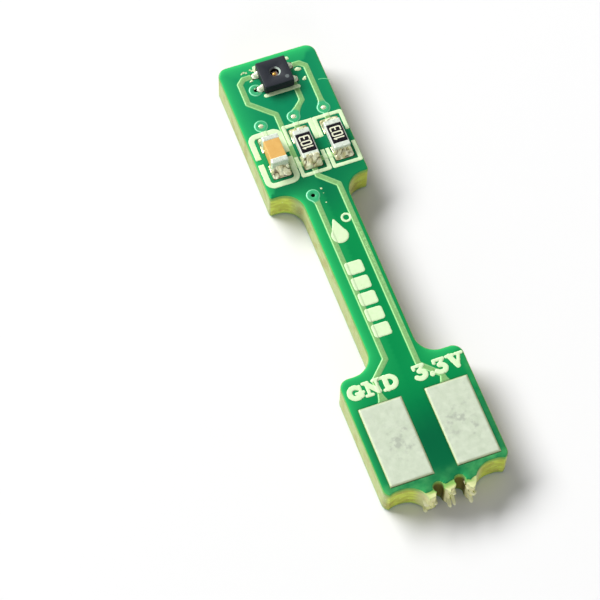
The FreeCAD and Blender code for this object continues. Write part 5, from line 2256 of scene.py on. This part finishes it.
@dataclass
class SolderJoint:
    """Solder on one land: it climbs the end of the part and spreads to the land's edge."""

    node: str
    heading: tuple[float, float]
    wall: float
    seed: float
    fall: float = 1.3
    lump: float = 0.06
    lap: float = 0.03
    rise: float = 1.0
    corner: float = 0.15
    foot: float = 0.05
    thinnest: float = 0.02
    base: float = 0.004
    crease_depth: float = 1.6
    crease_width: float = 0.07
    plump: bool = False
    finish: str = "solder"

    def build(self) -> None:
        """Make the joint as a closed height field and dress it."""
        low, high = node_box(self.node)
        heading = np.array(self.heading)
        across = np.array([-heading[1], heading[0]])
        reach = np.sort([low[:2] @ heading, high[:2] @ heading]) - self.wall
        side = np.sort([low[:2] @ across, high[:2] @ across])
        outer, half, middle = reach[1], (side[1] - side[0]) / 2.0, side.mean()
        height = (high[2] - low[2]) * self.rise
        rows = np.concatenate([np.linspace(reach[0], -self.lap - 0.02, 6),
                               np.linspace(-self.lap, 0.0, 12, endpoint=False),
                               outer * np.linspace(0.0, 1.0, 30) ** 1.15])
        columns = half * np.sin(np.linspace(-1.0, 1.0, 40) * math.pi / 2.0)
        u, v = grid_plan(rows, columns).T
        share_u, share_v = np.clip(u / outer, 0.0, 1.0), np.abs(v) / half
        round_off = min(self.corner, outer, half)
        beyond = np.clip((u - outer + round_off) / round_off, 0.0, 1.0)
        narrowed = 1.0 - round_off / half * (1.0 - np.sqrt(1.0 - beyond**2))
        plan = (u + self.wall)[:, None] * heading + (middle + v * narrowed)[:, None] * across
        climbing = smooth_step(1.0 + u / self.lap)
        edge = np.clip(1.0 - share_v**5, 0.0, 1.0) ** 0.6
        edge *= np.clip(1.0 - share_u**7, 0.0, 1.0) ** 0.5
        valley = ripple(plan, (0.30, 0.34), self.seed + 4.0) / self.crease_width
        crease = np.exp(-(valley**2))
        lumps = self.lump * (ripple(plan, (0.17, 0.20), self.seed) - self.crease_depth * crease)
        if self.plump:
            bulge = np.clip(1.0 - (share_u / 0.82) ** 2 - share_v**2, 0.0, 1.0) ** 0.5 * climbing
            top = np.maximum(0.03 * edge, height * bulge * (1.0 + lumps))
        else:
            climb = (1.0 - share_u) ** self.fall * climbing**0.5
            body = self.foot + (height - 0.06) * climb + lumps * (0.3 + climb)
            corner = 1.0 - 0.85 * smooth_step((share_u**2 + share_v**2 - 1.15) / 0.75)
            top = np.maximum(body, self.thinnest) * edge * corner + self.base
        draft = Draft()
        draft.shell(np.column_stack([plan, low[2] + np.minimum(top, height)]),
                    raised(plan, low[2]), grid_faces(len(rows), len(columns)),
                    crease=np.tile(crease, 2))
        draft.piece(self.node + "_fillet", self.finish, [self.node], sharp=70.0)


@dataclass
class ChipPart:
    """Chip part with a body, two plated ends and their joints."""

    prefix: str
    finish: str
    end_radius: float
    seed: float
    swollen: tuple[End, ...] = ()

    def build(self) -> None:
        """Make the body, the ends and the joints."""
        node = self.prefix + "_ceramic"
        rounded_block(node, 0.03, 0.12, 0.003, self.seed).piece(self.prefix + "_block",
                                                                self.finish, [node])
        for number, end in enumerate(End):
            self.end(end, self.seed + number)

    def end(self, end: End, seed: float) -> None:
        """Make one plated end and its joint.

        Args:
            end: Which end.
            seed: Pattern of its skin.
        """
        node = f"{self.prefix}_end_{end.word}"
        rounded_block(node, self.end_radius, 0.05, 0.008, seed).piece(node + "_plating", "end",
                                                                      [node])
        low, high = node_box(node)
        joint = SolderJoint(f"{self.prefix}_solder_{end.word}", (0.0, float(end.value)),
                            float(high[1] if end is End.UPPER else -low[1]), seed + 10.0)
        if end in self.swollen:
            joint.lap, joint.rise, joint.fall = 0.36, 1.75, 0.9
        joint.build()


@dataclass
class Resistor(ChipPart):
    """Chip resistor: a chip part with a dark coat and plain digits."""

    digits: tuple[str, ...] = ("1", "0", "thin3")
    digit_field: tuple[float, float] = (0.54, 0.76)
    digit_stroke: float = 0.068
    digit_height: float = 0.006

    def build(self) -> None:
        """Make the chip, its coat and its digits."""
        super().build()
        node = self.prefix + "_overcoat"
        rounded_block(node, 0.024, 0.08, 0.002, self.seed, sunk=0.02).piece(self.prefix + "_coat",
                                                                            "black", [node])
        box = box_around(node_centre(node), self.digit_field)
        text = Lettering(self.digits, box, self.digit_stroke, light=1.0, turned=True)
        loops = contours(text.shape, box, 0.015)
        points = grid_points(box, 0.06)
        sheet = sheet_draft(Face.FRONT, loops, points[inside(points, loop_segments(loops))],
                            node_box(node)[1][2],
                            lambda places: np.full(len(places), self.digit_height), -0.004, 0.0)
        sheet.values.clear()
        sheet.piece(self.prefix + "_digits", "cream")


@dataclass
class SensorPackage:
    """Sensor in its moulded body: port, sensing film, terminals and joints."""

    edge: float = 0.03
    corner: float = 0.035
    port_top: float = 0.59
    port_bore: float = 0.42
    port_depth: float = 0.235
    chamfer: float = 0.075
    lip: float = 0.012
    mark_offset: tuple[float, float] = (0.48, -0.45)
    mark_size: float = 0.20
    bead_radius: float = 0.10
    bead_height: float = 0.05
    bead_offset: tuple[float, float] = (-0.02, -0.01)
    round_count: int = 64

    def build(self) -> None:
        """Make the body, the film, the pin mark and the joints."""
        low, high = node_box("sensor_body")
        centre = node_centre("sensor_body")[:2]
        self.body(low, high, centre)
        self.port(high[2], centre)
        self.film(centre)
        self.pin_mark(centre, high[2])
        sides = (("ground", -1.0), ("supply", -1.0), ("data", 1.0), ("clock", 1.0))
        for number, (net, side) in enumerate(sides):
            wall = float(high[0] if side > 0 else -low[0])
            SolderJoint("sensor_solder_" + net, (side, 0.0), wall, 40.0 + number,
                        lump=0.0, plump=True, finish="blob").build()

    def body(self, low: Array, high: Array, centre: Array) -> None:
        """Make the moulding, with the port turned into its top.

        Args:
            low: Lowest corner of the body.
            high: Highest corner of the body.
            centre: Plan place of the port's axis.
        """
        loops = [raised(rectangle((*low[:2], *high[:2]), self.corner), low[2])]
        for angle in np.radians([0.0, 18.0, 36.0, 54.0, 72.0, 90.0]):
            inset = self.edge * (1.0 - math.cos(angle))
            plan = rectangle((*(low[:2] + inset), *(high[:2] - inset)), self.corner - inset)
            loops.append(raised(plan, high[2] - self.edge * (1.0 - math.sin(angle))))
        top, wide, bore = high[2], self.port_top / 2.0, self.port_bore / 2.0
        floor = top - self.port_depth
        draft = Draft()
        draft.loft(loops)
        draft.cap([loops[-1][:, :2], circle(centre, wide, self.round_count)], top, True)
        draft.cap([loops[0][:, :2]], low[2], False)
        draft.spin([(bore, floor), (bore, top - self.chamfer - 0.008),
                    (bore + 0.012, top - self.chamfer), (wide - 0.008, top - 0.003),
                    (wide, top)], centre, self.round_count)
        draft.cap([circle(centre, bore, self.round_count)], floor, True)
        draft.piece("sensor_moulding", "mould", ["sensor_body"], sharp=30.0)

    def port(self, top: float, centre: Array) -> None:
        """Line the port with a lip that carries a painted highlight where it leans towards the
        lamp, and with a black lining that is painted shade.

        Args:
            top: Height of the body's top.
            centre: Plan place of the port's axis.
        """
        bore, floor = self.port_bore / 2.0, top - self.port_depth
        rim, foot = self.port_top / 2.0 - 0.012, bore + 0.006
        high, low = top - 0.001, top - self.chamfer + 0.002
        lip = Draft()
        lip.spin([(rim, high), (rim, high - self.lip), (foot, low - self.lip), (foot, low),
                  (rim, high)], centre, self.round_count)
        lip.piece("sensor_port_lip", "lip")
        inner, outer, start = bore - 0.004, bore - 0.001, top - self.chamfer - 0.02
        # Black lining over the port's wall and floor: painted shade
        lining = Draft()
        lining.spin([(0.0, floor + 0.004), (inner, floor + 0.004), (inner, start), (outer, start),
                     (outer, floor + 0.001), (0.0, floor + 0.001)], centre, self.round_count)
        lining.piece("sensor_port_lining", "port_shade")

    def film(self, centre: Array) -> None:
        """Make the sensing film on the port's floor and the gold bead on it.

        Args:
            centre: Plan place of the port's axis.
        """
        rounded_block("sensor_element", 0.012, 0.05, 0.002, 3.0).piece("sensor_film", "film",
                                                                       ["sensor_element"])
        top, bead = node_box("sensor_element")[1][2], Draft()
        bead.spin([*dome(self.bead_radius, top, self.bead_height, 10),
                   (self.bead_radius, top - 0.005), (0.0, top - 0.005)],
                  centre + self.bead_offset, 36)
        bead.piece("sensor_gold_bead", "gold")

    def pin_mark(self, centre: Array, top: float) -> None:
        """Make the round laser mark beside pin 1.

        Args:
            centre: Plan place of the port's axis.
            top: Height of the body's top.
        """
        draft, radius = Draft(), self.mark_size / 2.0
        draft.spin([(0.0, top + 0.002), (radius - 0.015, top + 0.002), (radius, top + 0.0005),
                    (radius, top - 0.004), (0.0, top - 0.004)], centre + self.mark_offset, 40)
        draft.piece("sensor_pin_mark", "mark")


@dataclass
class Residue:
    """Flux and solder crumbs left round the sensor and on the mask."""

    board: BoardPlan
    shift: tuple[float, float] = (0.035, 0.40)
    stand: float = 0.028

    # Place, width, length and density of each patch, and whether its crumbs are large
    patches: tuple[tuple[float, float, float, float, float, bool], ...] = (
        (-1.20, 23.02, 0.72, 0.16, 75.0, False), (-1.22, 22.52, 0.42, 0.18, 90.0, False),
        (1.17, 22.38, 0.26, 0.14, 190.0, True), (1.36, 21.76, 0.20, 0.12, 190.0, True),
        (-0.84, 22.98, 0.16, 0.12, 190.0, True), (0.62, 23.14, 0.14, 0.12, 190.0, True),
        (-0.17, 15.3, 0.3, 1.2, 10.0, False), (-1.15, 22.05, 0.3, 0.3, 60.0, False),
    )

    def build(self) -> None:
        """Scatter the crumbs over their patches."""
        level = self.board.level[Face.FRONT] + self.stand
        for number, (x, y, width, length, density, large) in enumerate(self.patches):
            place = (x + self.shift[0], y + self.shift[1] + self.board.tail_end)
            draft = Draft()
            draft.add(raised(rectangle(box_around(place, (width, length))), level),
                      [(0, 1, 2, 3)])
            SCATTER.dress(draft, f"residue_{number + 1}", "residue", {
                "Density": density / MM**2, "Smallest": (0.045 if large else 0.018) * MM,
                "Largest": (0.085 if large else 0.055) * MM, "Flatness": 0.35,
                "Seed": 3 + number})


def dress_kept_nodes() -> None:
    """Give the solid nodes that stay in view their finishes."""
    for name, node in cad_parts.items():
        if "_copper_" in name or name.startswith("via_barrel"):
            key = "copper"
        elif name.startswith("sensor_terminal") or name == "sensor_die_pad":
            key = "lead"
        else:
            continue
        for held in node.material_slots:
            held.material = MATERIALS[key]
        if not node.material_slots:
            node.data.materials.append(MATERIALS[key])


# Surroundings

@dataclass(frozen=True)
class Lamp:
    """Broad soft lamp: where it hangs, its width and height in millimetres, its watts."""

    name: str
    way: tuple[float, float, float]
    size: tuple[float, float]
    power: float


@dataclass
class Studio:
    """Camera, lamps and the white floor."""

    place: tuple[float, float, float] = (-23.323, -50.822, 101.726)
    view: tuple[float, float, float] = (0.17768, 0.44004, -0.88022)
    roll: float = 1.867
    lens: float = 147.0
    sensor: float = 36.0
    lamps: tuple[Lamp, ...] = (
        Lamp("key_lamp", (-0.447, 0.662, 0.602), (1120.0, 508.0), 22.4),
        Lamp("fill_lamp", (-0.33, -0.91, 0.26), (800.0, 800.0), 3.2),
    )
    lamp_distance: float = 1200.0
    sky: float = 0.275
    mirror_low: float = 0.25
    mirror_high: float = 1.25
    floor_size: float = 3000.0
    floor_level: float = -0.002
    floor_shade: Colour = (238, 238, 238)

    @staticmethod
    def set_up(name: str, data: bpy.types.ID, place: Vector, way: Vector,
               roll: float = 0.0) -> Piece:
        """Put a camera or a lamp at its place.

        Args:
            name: Name of the object.
            data: The camera or the lamp.
            place: Its place in metres.
            way: Where it points.
            roll: Turn in degrees about that line.

        Returns:
            The object.
        """
        made = linked_object(name, data)
        turn = way.to_track_quat("-Z", "Y").to_matrix()
        turn = turn @ Matrix.Rotation(math.radians(roll), 3, "Z")
        made.matrix_world = Matrix.Translation(place) @ turn.to_4x4()
        return made

    def camera(self) -> None:
        """Set the camera at the photograph's place."""
        data = bpy.data.cameras.new("view_camera")
        data.lens, data.sensor_width = self.lens, self.sensor
        data.clip_start, data.clip_end = 0.001, 10.0
        bpy.context.scene.camera = self.set_up("view_camera", data, Vector(self.place) * MM,
                                               Vector(self.view), self.roll)

    def hang(self, lamp: Lamp) -> None:
        """Hang one broad lamp that points at the board.

        Args:
            lamp: The lamp.
        """
        data = bpy.data.lights.new(lamp.name, "AREA")
        data.shape = "ELLIPSE"
        data.size, data.size_y = lamp.size[0] * MM, lamp.size[1] * MM
        data.energy = lamp.power
        place = Vector(lamp.way).normalized() * self.lamp_distance * MM
        self.set_up(lamp.name, data, place, -place)

    def surround(self) -> None:
        """Light the scene evenly and show white to the camera and to reflections."""
        world = bpy.data.worlds.new("studio_world")
        world.use_nodes = True
        bench = NodeBench(world.node_tree)
        path = bench.add("ShaderNodeLightPath").outputs
        seen = bench.math("MAXIMUM", path["Is Camera Ray"], path["Is Transmission Ray"])
        way = bench.add("ShaderNodeTexCoord").outputs["Generated"]
        patches = bench.add("ShaderNodeTexNoise", {"Vector": way, "Scale": 1.6, "Detail": 1.0})
        mirrored = bench.span(patches.outputs[0], 0.40, 0.58, self.mirror_low, self.mirror_high)
        plain = bench.add("ShaderNodeMix", {0: path["Is Glossy Ray"], 2: self.sky, 3: mirrored})
        strength = bench.add("ShaderNodeMix", {0: seen, 2: plain.outputs[0], 3: 1.0})
        light = bench.add("ShaderNodeBackground", {"Color": (1.0, 1.0, 1.0, 1.0),
                                                   "Strength": strength.outputs[0]})
        bench.add("ShaderNodeOutputWorld", {"Surface": light.outputs[0]})
        bpy.context.scene.world = world

    def floor(self) -> None:
        """Lay the white floor that keeps the board's shadow."""
        material = bpy.data.materials.new("floor_white")
        material.use_nodes = True
        bench = NodeBench(material.node_tree)
        shader = bench.add("ShaderNodeBsdfPrincipled", {
            "Base Color": linear(self.floor_shade), "Roughness": 0.9, "Specular IOR Level": 0.0})
        bench.add("ShaderNodeOutputMaterial", {"Surface": shader.outputs[0]})
        draft = Draft()
        corners = rectangle(box_around((0.0, 0.0), (self.floor_size, self.floor_size)))
        draft.add(raised(corners, self.floor_level), [(0, 1, 2, 3)])
        draft.finish("floor", material)

    def build(self) -> None:
        """Set up everything round the board."""
        self.camera()
        for lamp in self.lamps:
            self.hang(lamp)
        self.surround()
        self.floor()
        bpy.context.scene.view_settings.view_transform = "Standard"


def main() -> None:
    """Build every piece of the board and the studio round it."""
    logging.basicConfig(level=logging.INFO, format="%(name)s %(message)s")
    Studio().build()
    board = BoardPlan()
    Laminate(board).build()
    foils = {face: FoilPlan(board, face) for face in Face}
    for foil in foils.values():
        SolderMask(board, foil).build()
    Legend(board, Print(foils[Face.FRONT]), Print(foils[Face.BACK])).build()
    for foil in foils.values():
        foil.remove()
    Vias(board).build()
    for face, nets in PADS.items():
        for net in nets:
            TinPad(net, face).build()
    ChipPart("capacitor", "tan", 0.06, 50.0).build()
    Resistor("data_resistor", "alumina", 0.03, 60.0, (End.LOWER,)).build()
    Resistor("clock_resistor", "alumina", 0.03, 70.0).build()
    SensorPackage().build()
    Residue(board).build()
    dress_kept_nodes()


if __name__ == "__main__":
    main()
